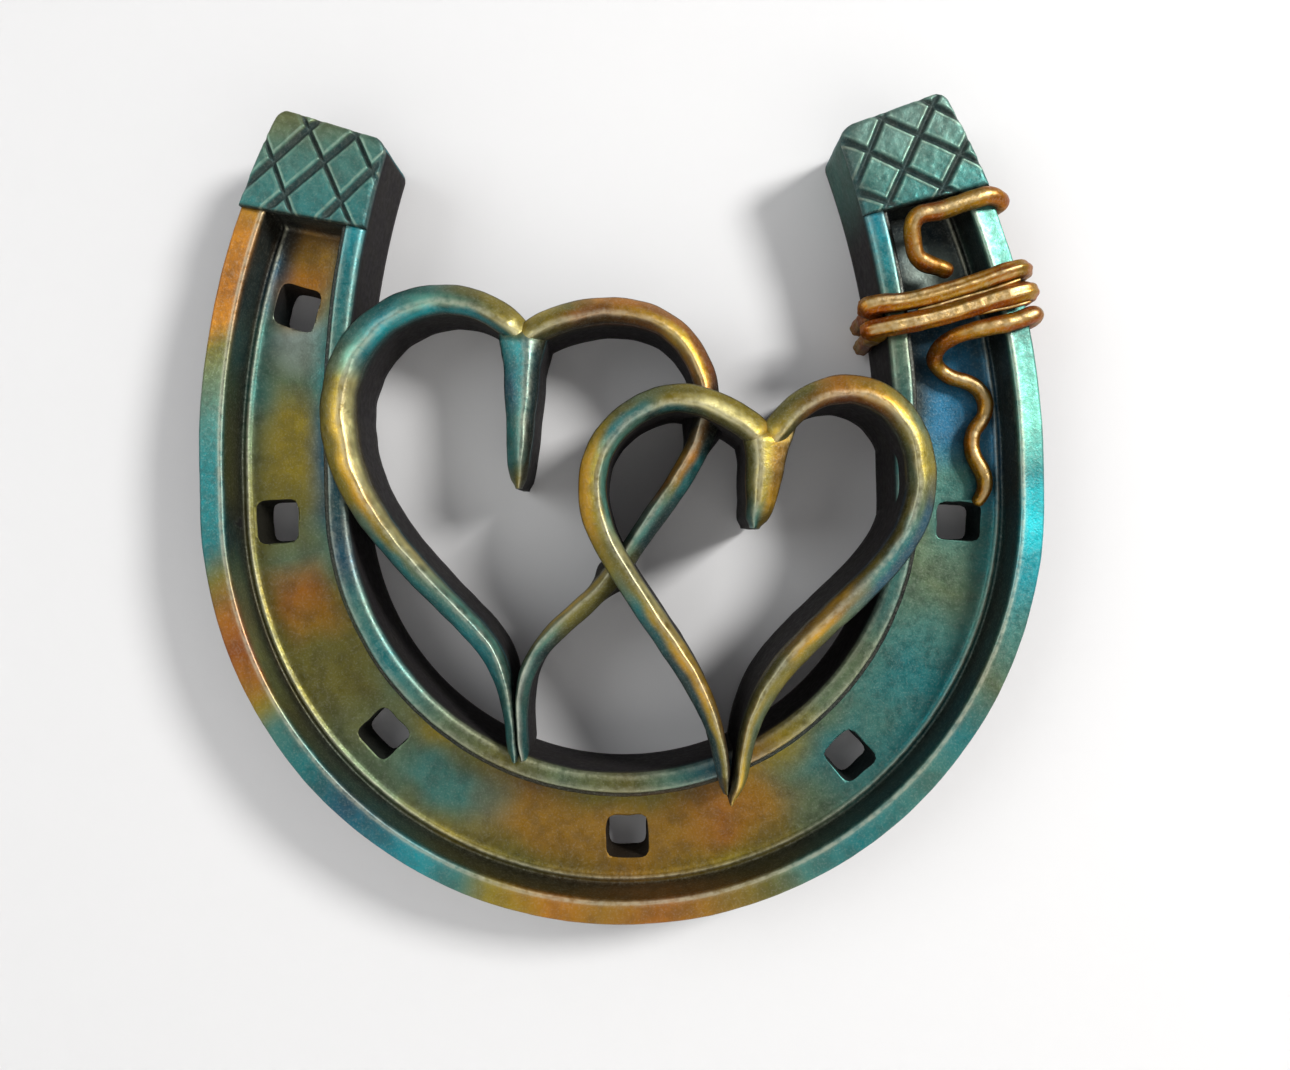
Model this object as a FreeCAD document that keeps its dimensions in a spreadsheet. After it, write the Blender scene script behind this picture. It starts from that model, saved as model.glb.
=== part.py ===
import FreeCAD, Part
import math
import os

import Sketcher
from FreeCAD import Placement, Rotation, Vector

# Wall-hanging ornamental horseshoe, hanging with its heels up.
# Frame: +Z up towards the heels, the flat back in the plane y = 0, the front face towards -Y,
# the origin at the centre of the toe's arcs, on the back plane.

doc = FreeCAD.newDocument("Horseshoe")
sheet = doc.addObject("Spreadsheet::Sheet", "Sizes")

SIZES = [
    ("shoe_thickness", 12.0, "back plane to the top of the rims"),
    ("channel_depth", 6.0, "top of the rims to the channel floor"),
    ("outer_radius", 60.0, "outside of the toe"),
    ("inner_radius", 38.7, "inside of the toe"),
    ("inner_rise", 0.5, "height of the inner arc's centre over the outer arc's"),
    ("outer_rim", 3.5, "width of the outer rim"),
    ("inner_rim", 3.0, "width of the inner rim"),
    ("outer_arm_start", 5.5, "height where the outside of the arms starts to lean in"),
    ("outer_arm_radius", 105.6, "radius of the outside of the arms"),
    ("inner_arm_start", 9.5, "height where the inside of the arms starts to lean in"),
    ("inner_arm_radius", 130.0, "radius of the inside of the arms"),
    ("heel_outer_height", 56.8, "height of the heel's outer corner"),
    ("heel_inner_height", 51.8, "height of the heel's inner corner"),
    ("heel_outer_round", 1.5, "rounding of the heel's outer corner"),
    ("heel_inner_round", 2.2, "rounding of the heel's inner corner"),
    ("pad_inner_height", 39.4, "height of the pad's lower edge on the inner wall"),
    ("pad_outer_height", 43.3, "height of the pad's lower edge on the outer wall"),
    ("pad_plate", 1.5, "thickness of the heel pad"),
    ("pad_inlay", 0.8, "depth of the seat that the heel pad lies in"),
    ("groove_width", 1.0, "width of the crosshatch grooves"),
    ("groove_depth", 0.6, "depth of the crosshatch grooves"),
    ("nail_circle", 49.5, "radius that the nail holes lie on"),
    ("nail_draft", 3.0, "degrees by which the nail holes narrow towards the back"),
    ("left_heart_height", 14.0, "back plane to the crest of the left heart"),
    ("right_heart_height", 18.0, "back plane to the crest of the right heart"),
    ("left_spike_height", 13.0, "back plane to the crest of the left heart's spike"),
    ("right_spike_height", 17.2, "back plane to the crest of the right heart's spike"),
    ("crest_round", 0.6, "rounding of the hearts' crests"),
    ("wire_diameter", 2.1, "diameter of the copper wire"),
    ("thin_diameter", 0.55, "diameter of the thin strands between the turns"),
    ("wire_gap", 0.1, "clearance between the wire and the shoe"),
]

for row, (alias, value, meaning) in enumerate(SIZES, start=1):
    sheet.set(f"A{row}", alias)
    sheet.set(f"B{row}", str(value))
    sheet.set(f"C{row}", meaning)
    sheet.setAlias(f"B{row}", alias)
doc.recompute()

size = {alias: float(sheet.get(alias)) for alias, _, _ in SIZES}

LEFT, RIGHT = -1, 1


# ---------------------------------------------------------------- helpers

# a pocket that takes away less than this many cubic millimetres has missed its body
LEAST_CUT = 0.01


def new_body(name):
    """A PartDesign body whose label is the node's name."""
    body = doc.addObject("PartDesign::Body", name)
    body.Label = name
    return body


def front_sketch(body, name, height):
    """A sketch parallel to the front face; height is a number or an expression from the sheet."""
    plane = next(f for f in body.Origin.OriginFeatures if f.Role == "XZ_Plane")
    sketch = body.newObject("Sketcher::SketchObject", name)
    sketch.AttachmentSupport = [(plane, "")]
    sketch.MapMode = "FlatFace"
    sketch.setExpression("AttachmentOffset.Base.z", height)
    return sketch


def point(x, z):
    return Vector(x, z, 0)


def line(start, end):
    return Part.LineSegment(point(*start), point(*end))


def polygon(corners):
    return [line(corners[i], corners[(i + 1) % len(corners)]) for i in range(len(corners))]


def pad(body, sketch, name, length):
    feature = body.newObject("PartDesign::Pad", name)
    feature.Profile = sketch
    feature.setExpression("Length", length)
    return feature


def pocket(body, sketch, name, depth, draft=None):
    """Cut towards the back, and make sure that something was cut."""
    doc.recompute()
    before = body.Shape.Volume
    feature = body.newObject("PartDesign::Pocket", name)
    feature.Profile = sketch
    feature.setExpression("Length", depth)
    if draft:
        feature.setExpression("TaperAngle", draft)
    doc.recompute()
    if body.Shape.Volume >= before - LEAST_CUT:
        raise RuntimeError(f"{name} cut nothing")


# ---------------------------------------------------------------- the shoe's outline


def outer_x(z, inset=0.0):
    """Half width of the shoe's outside at height z, or of a line inset from it."""
    rise = max(0.0, z - size["outer_arm_start"])
    radius = size["outer_arm_radius"] - inset
    centre = size["outer_radius"] - size["outer_arm_radius"]
    return centre + math.sqrt(radius**2 - rise**2)


def inner_x(z, inset=0.0):
    """Half width of the shoe's inside at height z, or of a line inset into the metal."""
    rise = max(0.0, z - size["inner_arm_start"])
    radius = size["inner_arm_radius"] + inset
    centre = size["inner_radius"] - size["inner_arm_radius"]
    return centre + math.sqrt(radius**2 - rise**2)


def arm_arc(half_width, side, low, high, inset):
    """The leaning stretch of one arm between two heights, as an arc through three points."""
    middle = (low + high) / 2
    ends = [point(side * half_width(z, inset), z) for z in (low, middle, high)]
    return Part.Arc(*ends)


def toe_arc(radius, rise):
    """Half a circle that opens upwards."""
    return Part.Arc(point(-radius, rise), point(0, rise - radius), point(radius, rise))


def shoe_outline(outer_inset, inner_inset, outer_top, inner_top):
    """The U between two lines inset from the outside and the inside, with slanting ends."""
    outer_toe = size["outer_radius"] - outer_inset
    inner_toe = size["inner_radius"] + inner_inset
    rise = size["inner_rise"]
    outer_start = size["outer_arm_start"]
    inner_start = size["inner_arm_start"]
    outer_top_x = outer_x(outer_top, outer_inset)
    inner_top_x = inner_x(inner_top, inner_inset)
    edges = [
        arm_arc(outer_x, LEFT, outer_start, outer_top, outer_inset),
        line((-outer_toe, outer_start), (-outer_toe, 0)),
        toe_arc(outer_toe, 0),
        line((outer_toe, 0), (outer_toe, outer_start)),
        arm_arc(outer_x, RIGHT, outer_start, outer_top, outer_inset),
        line((outer_top_x, outer_top), (inner_top_x, inner_top)),
        arm_arc(inner_x, RIGHT, inner_start, inner_top, inner_inset),
        line((inner_toe, inner_start), (inner_toe, rise)),
        toe_arc(inner_toe, rise),
        line((-inner_toe, rise), (-inner_toe, inner_start)),
        arm_arc(inner_x, LEFT, inner_start, inner_top, inner_inset),
        line((-inner_top_x, inner_top), (-outer_top_x, outer_top)),
    ]
    return edges


TOE_ARCS = {2: "Sizes.outer_radius", 8: "Sizes.inner_radius"}


def put_outline(sketch, edges, insets):
    """Draw the U and tie its two toe radii to the sheet; the other edges are blocked."""
    sketch.addGeometry(edges, False)
    for index, edge in enumerate(sketch.Geometry):
        if index in TOE_ARCS:
            number = sketch.addConstraint(Sketcher.Constraint("Radius", index, edge.Radius))
            sketch.setExpression(f"Constraints[{number}]", TOE_ARCS[index] + insets[index])
        else:
            sketch.addConstraint(Sketcher.Constraint("Block", index))


# ---------------------------------------------------------------- shoe body


# each nail hole round the toe: degrees from the toe, millimetres outside the nail circle, width, height
NAIL_HOLES = [
    (-88.6, 1.5, 6.0, 6.4),
    (-47.7, -0.6, 6.0, 6.0),
    (-0.8, -0.5, 6.1, 6.2),
    (40.4, 0.5, 5.8, 6.2),
    (85.5, 0.0, 6.5, 5.8),
]
# the hole under the left heel pad: centre, turn in degrees, width, height
ARM_NAIL_HOLE = ((-47.3, 30.2), -17.0, 6.2, 6.0)
# how far the channel's outer end stops below the pad's outer corner
CHANNEL_END_DROP = 0.4


def turned_square(centre, turn, width, height):
    """Four corners of a nail hole turned by some degrees."""
    cosine = math.cos(math.radians(turn))
    sine = math.sin(math.radians(turn))
    corners = []
    for u, v in ((-1, -1), (1, -1), (1, 1), (-1, 1)):
        a = u * width / 2
        b = v * height / 2
        corners.append((centre[0] + a * cosine - b * sine, centre[1] + a * sine + b * cosine))
    return corners


def nail_hole_corners():
    """The corners of every nail hole; those round the toe are turned less than an eighth of a circle."""
    holes = [turned_square(*ARM_NAIL_HOLE)]
    for angle, outside, width, height in NAIL_HOLES:
        radians = math.radians(angle)
        radius = size["nail_circle"] + outside
        centre = (radius * math.sin(radians), -radius * math.cos(radians))
        nearest_quarter = round(angle / 90) * 90
        holes.append(turned_square(centre, angle - nearest_quarter, width, height))
    return holes


def pad_seat_corners(side):
    """A loose outline over one heel, whose lower edge is the pad's."""
    margin = 5.0
    slope = (size["pad_outer_height"] - size["pad_inner_height"]) / (
        outer_x(size["pad_outer_height"]) - inner_x(size["pad_inner_height"])
    )
    inside = inner_x(size["pad_inner_height"]) - margin
    outside = outer_x(size["pad_outer_height"]) + margin
    top = size["heel_outer_height"] + margin
    corners = [
        (side * inside, size["pad_inner_height"] - margin * slope),
        (side * outside, size["pad_outer_height"] + margin * slope),
        (side * outside, top),
        (side * inside, top),
    ]
    return corners if side == RIGHT else corners[::-1]


def round_heels(body):
    """Round the heels' corners, which are the edges along Y at the arms' ends."""
    for corner in ("outer", "inner"):
        doc.recompute()
        base = body.Tip
        fillet = body.newObject("PartDesign::Fillet", f"Heel_{corner}_round")
        fillet.Base = (base, edges_along_y(base.Shape, size[f"heel_{corner}_height"]))
        fillet.setExpression("Radius", f"Sizes.heel_{corner}_round")
    doc.recompute()


def edges_along_y(shape, height):
    """Names of the edges along Y that stand at one height."""
    names = []
    for number, edge in enumerate(shape.Edges, start=1):
        ends = [v.Point for v in edge.Vertexes]
        if len(ends) != 2 or ends[0].sub(ends[1]).cross(Vector(0, 1, 0)).Length > 1e-6:
            continue
        if abs(ends[0].z - height) < 1e-3:
            names.append(f"Edge{number}")
    return names


def make_shoe():
    body = new_body("shoe_body")
    outline = front_sketch(body, "Shoe_outline", "0 mm")
    edges = shoe_outline(0, 0, size["heel_outer_height"], size["heel_inner_height"])
    put_outline(outline, edges, {2: "", 8: ""})
    pad(body, outline, "Shoe_blank", "Sizes.shoe_thickness")
    round_heels(body)

    channel = front_sketch(body, "Channel_outline", "Sizes.shoe_thickness")
    edges = shoe_outline(
        size["outer_rim"],
        size["inner_rim"],
        size["pad_outer_height"] - CHANNEL_END_DROP,
        size["pad_inner_height"],
    )
    put_outline(channel, edges, {2: " - Sizes.outer_rim", 8: " + Sizes.inner_rim"})
    pocket(body, channel, "Channel", "Sizes.channel_depth")

    seats = front_sketch(body, "Pad_seat_outlines", "Sizes.shoe_thickness")
    for side in (LEFT, RIGHT):
        seats.addGeometry(polygon(pad_seat_corners(side)), False)
    pocket(body, seats, "Pad_seats", "Sizes.pad_inlay")

    holes = front_sketch(body, "Nail_hole_squares", "Sizes.shoe_thickness - Sizes.channel_depth")
    for corners in nail_hole_corners():
        holes.addGeometry(polygon(corners), False)
    floor = "Sizes.shoe_thickness - Sizes.channel_depth"
    pocket(body, holes, "Nail_holes", floor, "-Sizes.nail_draft")
    return body


# ---------------------------------------------------------------- heel pads


# the grooves' ends on each pad, one family of parallel lines after the other
GROOVES = {
    "heel_pad_left": (
        [((-49.6, 54.6), (-44.9, 40.0)), ((-43.9, 56.3), (-36.4, 38.2)), ((-36.8, 54.0), (-32.5, 44.0))],
        [((-52.0, 45.8), (-40.4, 55.5)), ((-47.5, 43.6), (-34.2, 54.2)), ((-42.4, 39.8), (-32.8, 48.6))],
    ),
    "heel_pad_right": (
        [((46.2, 56.6), (37.5, 38.9)), ((39.6, 56.6), (33.2, 41.8)), ((51.3, 52.3), (45.3, 41.1))],
        [((40.8, 57.1), (50.2, 52.0)), ((33.6, 55.2), (50.6, 47.0)), ((31.2, 50.9), (48.2, 42.2)),
         ((32.0, 44.0), (40.6, 40.2))],
    ),
}


def groove_strip(start, end):
    """Corners of a thin rectangle along a groove."""
    along = point(*end).sub(point(*start))
    aside = Vector(-along.y, along.x, 0).normalize() * (size["groove_width"] / 2)
    corners = [point(*start) - aside, point(*end) - aside, point(*end) + aside, point(*start) + aside]
    return [(c.x, c.y) for c in corners]


def make_pad(side, name):
    body = new_body(name)
    outline = front_sketch(body, f"{name}_outline", "Sizes.shoe_thickness - Sizes.pad_inlay")
    outer_low, outer_high = size["pad_outer_height"], size["heel_outer_height"]
    inner_low, inner_high = size["pad_inner_height"], size["heel_inner_height"]
    edges = [
        arm_arc(outer_x, side, outer_low, outer_high, 0),
        line((side * outer_x(outer_high), outer_high), (side * inner_x(inner_high), inner_high)),
        arm_arc(inner_x, side, inner_low, inner_high, 0),
        line((side * inner_x(inner_low), inner_low), (side * outer_x(outer_low), outer_low)),
    ]
    outline.addGeometry(edges, False)
    pad(body, outline, f"{name}_plate", "Sizes.pad_plate")
    round_heels(body)
    front = "Sizes.shoe_thickness - Sizes.pad_inlay + Sizes.pad_plate"
    for number, family in enumerate(GROOVES[name], start=1):
        strips = front_sketch(body, f"{name}_groove_lines_{number}", front)
        for start, end in family:
            strips.addGeometry(polygon(groove_strip(start, end)), False)
        pocket(body, strips, f"{name}_grooves_{number}", "Sizes.groove_depth")
    return body


# ---------------------------------------------------------------- hearts


# each bar's line as (x, z, width), from the notch round the lobe to the tip
HEART_BARS = {
    "left_heart_left_bar": [
        (-14.2, 24.8, 4.0), (-19.4, 28.3, 4.0), (-25.4, 29.3, 4.2), (-31.8, 27.5, 4.6),
        (-37.2, 22.6, 4.9), (-39.7, 15.4, 5.0), (-38.3, 4.8, 4.6), (-32.4, -5.2, 3.8), (-23.5, -15.2, 3.4),
        (-18.6, -21.6, 3.0), (-17.0, -27.0, 2.2), (-16.2, -36.4, 1.7),
    ],
    "left_heart_right_bar": [
        (-13.0, 23.6, 3.6), (-7.0, 26.4, 3.8), (-0.2, 27.1, 3.7), (7.1, 24.7, 3.5),
        (11.4, 19.2, 3.2), (12.5, 13.6, 3.0), (9.6, 5.2, 2.9), (3.1, -4.0, 2.7), (-3.7, -12.6, 2.6),
        (-10.3, -18.4, 2.4), (-13.9, -23.4, 2.0), (-15.0, -28.8, 1.6), (-14.8, -36.4, 1.5),
    ],
    "right_heart_left_bar": [
        (19.6, 7.8, 4.0), (14.6, 12.0, 4.0), (8.4, 14.0, 3.8), (1.8, 12.0, 3.8),
        (-2.8, 7.0, 3.8), (-3.8, -0.6, 3.8), (-0.1, -9.6, 3.5), (5.1, -18.0, 3.4), (9.4, -25.2, 3.1),
        (11.8, -31.6, 2.4), (13.2, -41.0, 1.6),
    ],
    "right_heart_right_bar": [
        (20.6, 8.0, 3.8), (25.2, 12.8, 3.8), (31.4, 14.6, 3.8), (37.4, 12.2, 3.9),
        (41.0, 5.0, 4.0), (39.9, -3.8, 3.9), (33.5, -12.1, 3.6), (25.0, -19.8, 3.4), (18.6, -27.0, 3.0),
        (15.8, -33.6, 2.2), (14.3, -41.0, 1.6),
    ],
}

# each spike under a notch as (x, z, width), from its root to its point
HEART_SPIKES = {
    "left_heart_spike": [(-13.6, 24.4, 6.0), (-13.8, 20.4, 4.6), (-14.3, 13.0, 3.4), (-14.8, 2.4, 1.4)],
    "right_heart_spike": [(20.1, 8.0, 5.6), (19.8, 3.4, 4.4), (19.0, -0.6, 3.4), (18.3, -4.4, 2.2)],
}


# what each heart piece is fitted against, in the order in which they are made
HEART_NEIGHBOURS = {
    "left_heart_left_bar": ["shoe_body"],
    "left_heart_right_bar": ["shoe_body", "left_heart_left_bar"],
    "left_heart_spike": ["left_heart_left_bar", "left_heart_right_bar"],
    "right_heart_left_bar": ["shoe_body", "left_heart_right_bar"],
    "right_heart_right_bar": ["shoe_body", "right_heart_left_bar"],
    "right_heart_spike": ["right_heart_left_bar", "right_heart_right_bar"],
}


def smooth_line(points):
    """A smooth curve through points."""
    curve = Part.BSplineCurve()
    curve.interpolate([point(x, z) for x, z in points])
    return curve


def bar_outline(stations):
    """A closed outline: one flank, the tip's end, the other flank and the root's end."""
    middle = smooth_line([(x, z) for x, z, _ in stations])
    flanks = {LEFT: [], RIGHT: []}
    for x, z, width in stations:
        along = middle.tangent(middle.parameter(point(x, z)))[0].normalize()
        aside = Vector(-along.y, along.x, 0) * (width / 2)
        for side in flanks:
            place = point(x, z) + aside * side
            flanks[side].append((place.x, place.y))
    first, second = smooth_line(flanks[LEFT]), smooth_line(flanks[RIGHT])
    return [
        first,
        line(flanks[LEFT][-1], flanks[RIGHT][-1]),
        second,
        line(flanks[RIGHT][0], flanks[LEFT][0]),
    ]


def make_bar(name, stations, height):
    """A wall with rounded crest that stands on the back plane."""
    body = new_body(f"{name}_blank")
    outline = front_sketch(body, f"{name}_outline", "0 mm")
    outline.addGeometry(bar_outline(stations), False)
    wall = pad(body, outline, f"{name}_wall", height)
    doc.recompute()
    crest_height = min(v.Point.y for v in wall.Shape.Vertexes)
    names = []
    for number, edge in enumerate(wall.Shape.Edges, start=1):
        if all(abs(v.Point.y - crest_height) < 1e-6 for v in edge.Vertexes):
            names.append(f"Edge{number}")
    fillet = body.newObject("PartDesign::Fillet", f"{name}_crest")
    fillet.Base = (wall, names)
    fillet.setExpression("Radius", "Sizes.crest_round")
    doc.recompute()
    return body


def fitted(name, blank, neighbours):
    """The blank cut back so that it meets its neighbours face to face."""
    tool = neighbours[0]
    if len(neighbours) > 1:
        tool = doc.addObject("Part::MultiFuse", f"{name}_neighbours")
        tool.Shapes = neighbours
    cut = doc.addObject("Part::Cut", name)
    cut.Base = blank
    cut.Tool = tool
    cut.Label = name
    doc.recompute()
    return cut


def make_hearts(shoe):
    """The left heart first; the right heart is notched to lie over it."""
    blanks = {}
    for name, stations in {**HEART_BARS, **HEART_SPIKES}.items():
        heart = name.split("_")[0]
        kind = "spike" if name in HEART_SPIKES else "heart"
        blanks[name] = make_bar(name, stations, f"Sizes.{heart}_{kind}_height")
    made = {"shoe_body": shoe}
    for name, neighbours in HEART_NEIGHBOURS.items():
        made[name] = fitted(name, blanks[name], [made[other] for other in neighbours])
    del made["shoe_body"]
    return list(made.values())


# ---------------------------------------------------------------- copper wire


# degrees that the right arm's walls lean from upright, at most, where the wire crosses them
WALL_LEAN = 18.0
# straight stretch of a strand on a side wall, next to the back plane
FOOT_LENGTH = 4.0
# a run that goes further than this from front to back folds over an edge of the arm
EDGE_RUN = 7.0


def on_front(x, z):
    """A point of the wire's line where it lies across the rims."""
    return Vector(x, -(size["shoe_thickness"] + size["wire_gap"] + size["wire_diameter"] / 2), z)


def on_floor(x, z):
    """A point of the wire's line where it lies on the channel floor."""
    floor = size["shoe_thickness"] - size["channel_depth"]
    return Vector(x, -(floor + size["wire_gap"] + size["wire_diameter"] / 2), z)


def beside(half_width, z, direction):
    """Half width of the wire's line where it runs down a side wall of the right arm."""
    clear = (size["wire_gap"] + size["wire_diameter"] / 2) / math.cos(math.radians(WALL_LEAN))
    return half_width(z) + direction * clear


def foot(x, z):
    """The last stretch of a strand on a side wall, which runs straight to the back plane."""
    return [Vector(x, 0, z), Vector(x, -FOOT_LENGTH, z)]


def over_arm(inner_z, middle, outer_z, drop):
    """A turn: up the inner wall, across the rims and down the outer wall."""
    inner = beside(inner_x, inner_z - drop, LEFT)
    outer = beside(outer_x, outer_z, RIGHT)
    return [
        *foot(inner, inner_z - drop),
        on_front(inner, inner_z),
        on_front(*middle),
        on_front(outer, outer_z),
        Vector(outer, 0, outer_z),
    ]


def wire_routes():
    """Every thick strand's line, by node."""
    hook_z, tail_z = 41.0, 24.7
    hook_x = beside(outer_x, hook_z, RIGHT)
    tail_x = beside(outer_x, tail_z, RIGHT)
    return {
        "wire_hook": [
            Vector(hook_x, 0, hook_z),
            on_front(hook_x, hook_z),
            on_front(48.0, 40.0),
            on_front(42.6, 38.7),
            Vector(42.6, -11.0, 34.4),
            Vector(47.4, -8.4, 32.2),
        ],
        "wire_turn_top": over_arm(25.9, (46.0, 28.1), 31.7, drop=1.2),
        "wire_turn_middle": over_arm(22.95, (46.0, 25.15), 28.75, drop=2.6),
        "wire_tail": [
            Vector(tail_x, 0, tail_z),
            on_front(tail_x, tail_z),
            on_front(51.6, 23.6),
            on_front(47.0, 21.6),
            on_floor(45.4, 18.6),
            on_floor(48.2, 17.2),
            on_floor(53.4, 16.4),
            on_floor(53.2, 12.4),
            on_floor(50.9, 8.4),
            on_floor(52.8, 3.6),
            on_floor(51.4, 0.6),
        ],
    }


# the thin strands that show between the turns
THIN_STRANDS = {
    "thin_strand_upper": [(42.0, 25.68), (46.0, 26.62), (56.0, 29.54)],
    "thin_strand_lower": [(50.4, 24.9), (54.0, 25.6), (58.0, 26.6)],
}


# the most of a straight run that the bend at its end takes up
BEND_SHARE = 0.45


def bent_line(points, bend_radius, edge_radius):
    """Straight runs joined by tangent arcs, tighter where a strand folds over an edge of the arm."""
    edges = []
    start = points[0]
    for before, corner, after in zip(points, points[1:], points[2:]):
        back = before.sub(corner)
        ahead = after.sub(corner)
        half_turn = (math.pi - back.getAngle(ahead)) / 2
        room = BEND_SHARE * min(back.Length, ahead.Length)
        over_edge = max(abs(back.y), abs(ahead.y)) > EDGE_RUN
        wanted = edge_radius if over_edge else bend_radius
        trim = min(wanted * math.tan(half_turn), room)
        radius = trim / math.tan(half_turn)
        back.normalize()
        ahead.normalize()
        arc_start = corner + back * trim
        arc_end = corner + ahead * trim
        to_centre = (back + ahead).normalize()
        arc_middle = corner + to_centre * (radius / math.cos(half_turn) - radius)
        edges.append(Part.LineSegment(start, arc_start).toShape())
        edges.append(Part.Arc(arc_start, arc_middle, arc_end).toShape())
        start = arc_end
    edges.append(Part.LineSegment(start, points[-1]).toShape())
    return Part.Wire(edges)


# radius of a bend over its diameter, in the open and over an edge of the arm
OPEN_BEND, EDGE_BEND = 1.1, 0.55


def wire_solid(points, diameter, round_start, round_end):
    """A round wire along a bent line, with ball ends where it ends free."""
    spine = bent_line(points, OPEN_BEND * diameter, EDGE_BEND * diameter)
    start = spine.OrderedVertexes[0].Point
    direction = points[1].sub(points[0])
    circle = Part.Wire(Part.makeCircle(diameter / 2, start, direction))
    solid = spine.makePipeShell([circle], True, False)
    for wanted, place in ((round_start, points[0]), (round_end, points[-1])):
        if wanted:
            solid = solid.fuse(Part.makeSphere(diameter / 2, place))
    return solid.removeSplitter()


def add_wire(name, points, diameter, round_start=False, round_end=False):
    """One strand as a feature of the document."""
    solid = wire_solid(points, diameter, round_start, round_end)
    feature = doc.addObject("Part::Feature", name)
    feature.Shape = solid
    feature.Placement = Placement(Vector(0, 0, 0), Rotation())
    feature.Label = name
    return feature


def make_wires():
    diameter = size["wire_diameter"]
    routes = wire_routes()
    pieces = []
    for name, points in routes.items():
        loose_end = name in ("wire_hook", "wire_tail")
        pieces.append(add_wire(name, points, diameter, round_end=loose_end))
    thin = size["thin_diameter"]
    for name, places in THIN_STRANDS.items():
        points = [on_front(x, z) for x, z in places]
        pieces.append(add_wire(name, points, thin, round_start=True, round_end=True))
    return pieces


# ---------------------------------------------------------------- build, check and write

shoe_body = make_shoe()
pads = [make_pad(LEFT, "heel_pad_left"), make_pad(RIGHT, "heel_pad_right")]
hearts = make_hearts(shoe_body)
wires = make_wires()
doc.recompute()

for item in doc.Objects:
    if "Invalid" in item.State or "Error" in item.State:
        raise RuntimeError(f"{item.Label} failed: {item.State}")

os.makedirs("parts", exist_ok=True)
for piece in [shoe_body, *pads, *hearts, *wires]:
    shape = piece.Shape
    if shape.isNull() or not shape.isValid() or not shape.Solids:
        raise RuntimeError(f"{piece.Label} has no valid solid")
    shape.exportStep(f"parts/{piece.Label}.step")
    print(f"{piece.Label}: {len(shape.Solids)} solid(s), {shape.Volume:.1f} mm3")
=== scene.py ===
import math

import bmesh
import bpy
import numpy as np
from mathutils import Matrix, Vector, noise


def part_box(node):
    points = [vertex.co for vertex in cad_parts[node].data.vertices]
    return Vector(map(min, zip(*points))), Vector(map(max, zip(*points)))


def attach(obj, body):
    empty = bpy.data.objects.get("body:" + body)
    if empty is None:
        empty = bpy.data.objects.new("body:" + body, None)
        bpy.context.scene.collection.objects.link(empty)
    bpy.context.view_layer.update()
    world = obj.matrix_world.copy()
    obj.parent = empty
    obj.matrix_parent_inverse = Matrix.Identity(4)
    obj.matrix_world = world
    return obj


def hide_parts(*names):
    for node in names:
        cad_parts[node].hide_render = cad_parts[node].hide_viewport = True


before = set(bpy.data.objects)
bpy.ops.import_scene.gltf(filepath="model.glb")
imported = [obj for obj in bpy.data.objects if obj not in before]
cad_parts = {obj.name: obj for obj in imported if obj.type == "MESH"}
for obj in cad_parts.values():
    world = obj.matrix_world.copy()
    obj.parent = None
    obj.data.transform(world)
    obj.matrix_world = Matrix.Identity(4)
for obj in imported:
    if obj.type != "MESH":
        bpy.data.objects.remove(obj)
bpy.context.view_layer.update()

# Looks of the wall-hanging horseshoe. Lengths are in millimetres until a mesh is made, and
# "height" is the distance in front of the flat back, which lies in the plane y = 0.
MM = 0.001

shoe_low, shoe_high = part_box("shoe_body")
OUTER_RADIUS = (shoe_high[0] - shoe_low[0]) / 2 / MM
THICKNESS = -shoe_low[1] / MM
FLOOR = THICKNESS / 2
HEEL_TOP = 56.8
HEEL_INNER_TOP = 51.8
PAD_FROM = 43.3
INNER_RADIUS = 38.7
INNER_RISE = 0.5
OUTER_RIM = 3.5
INNER_RIM = 3.0
HEEL_OUTER_ROUND = 1.5
HEEL_INNER_ROUND = 2.2
OUTER_ARM = (5.5, 105.6)
INNER_ARM = (9.5, 130.0)
NAIL_CIRCLE = 49.5


# ---------------------------------------------------------------- paints

# metallic craft paints, as sRGB bytes
PAINTS = {
    "black": (20, 19, 20),
    "wall": (36, 33, 34),
    "navy": (16, 34, 44),
    "deep_teal": (10, 58, 64),
    "teal": (20, 110, 112),
    "blue_teal": (14, 78, 98),
    "blue": (26, 100, 130),
    "cyan": (30, 142, 150),
    "bright_cyan": (58, 176, 182),
    "pale_teal": (112, 172, 156),
    "grey_teal": (70, 116, 108),
    "grey_green": (94, 110, 84),
    "silver": (140, 152, 144),
    "olive_dark": (48, 46, 20),
    "olive": (104, 98, 48),
    "olive_gold": (140, 124, 54),
    "gold": (192, 148, 56),
    "bright_gold": (206, 172, 84),
    "cream": (222, 212, 156),
    "brown": (104, 74, 38),
    "brown_gold": (144, 108, 50),
    "orange": (172, 116, 24),
    "copper": (152, 98, 28),
    "deep_copper": (138, 78, 16),
}


def linear(rgb):
    """sRGB bytes as linear light."""
    c = np.array(rgb, float) / 255
    return np.where(c <= 0.04045, c / 12.92, ((c + 0.055) / 1.055) ** 2.4)


def vivid(colour, share):
    """A linear colour with its difference from grey grown by a share."""
    grey = colour.mean()
    return np.maximum(grey + (colour - grey) * (1 + share), 0.002)


PAINT = {name: vivid(linear(rgb), 0.22) for name, rgb in PAINTS.items()}


def blend_along(stations, where):
    """Colours at each place along a list of (place, paint) stations."""
    places = [s[0] for s in stations]
    colours = np.array([PAINT[s[1]] for s in stations])
    return np.stack([np.interp(where, places, colours[:, k]) for k in range(3)], axis=1)


def mix(a, b, share):
    """Colour a with a share of b."""
    share = np.clip(share, 0, 1)[:, None]
    return a * (1 - share) + b * share


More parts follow.
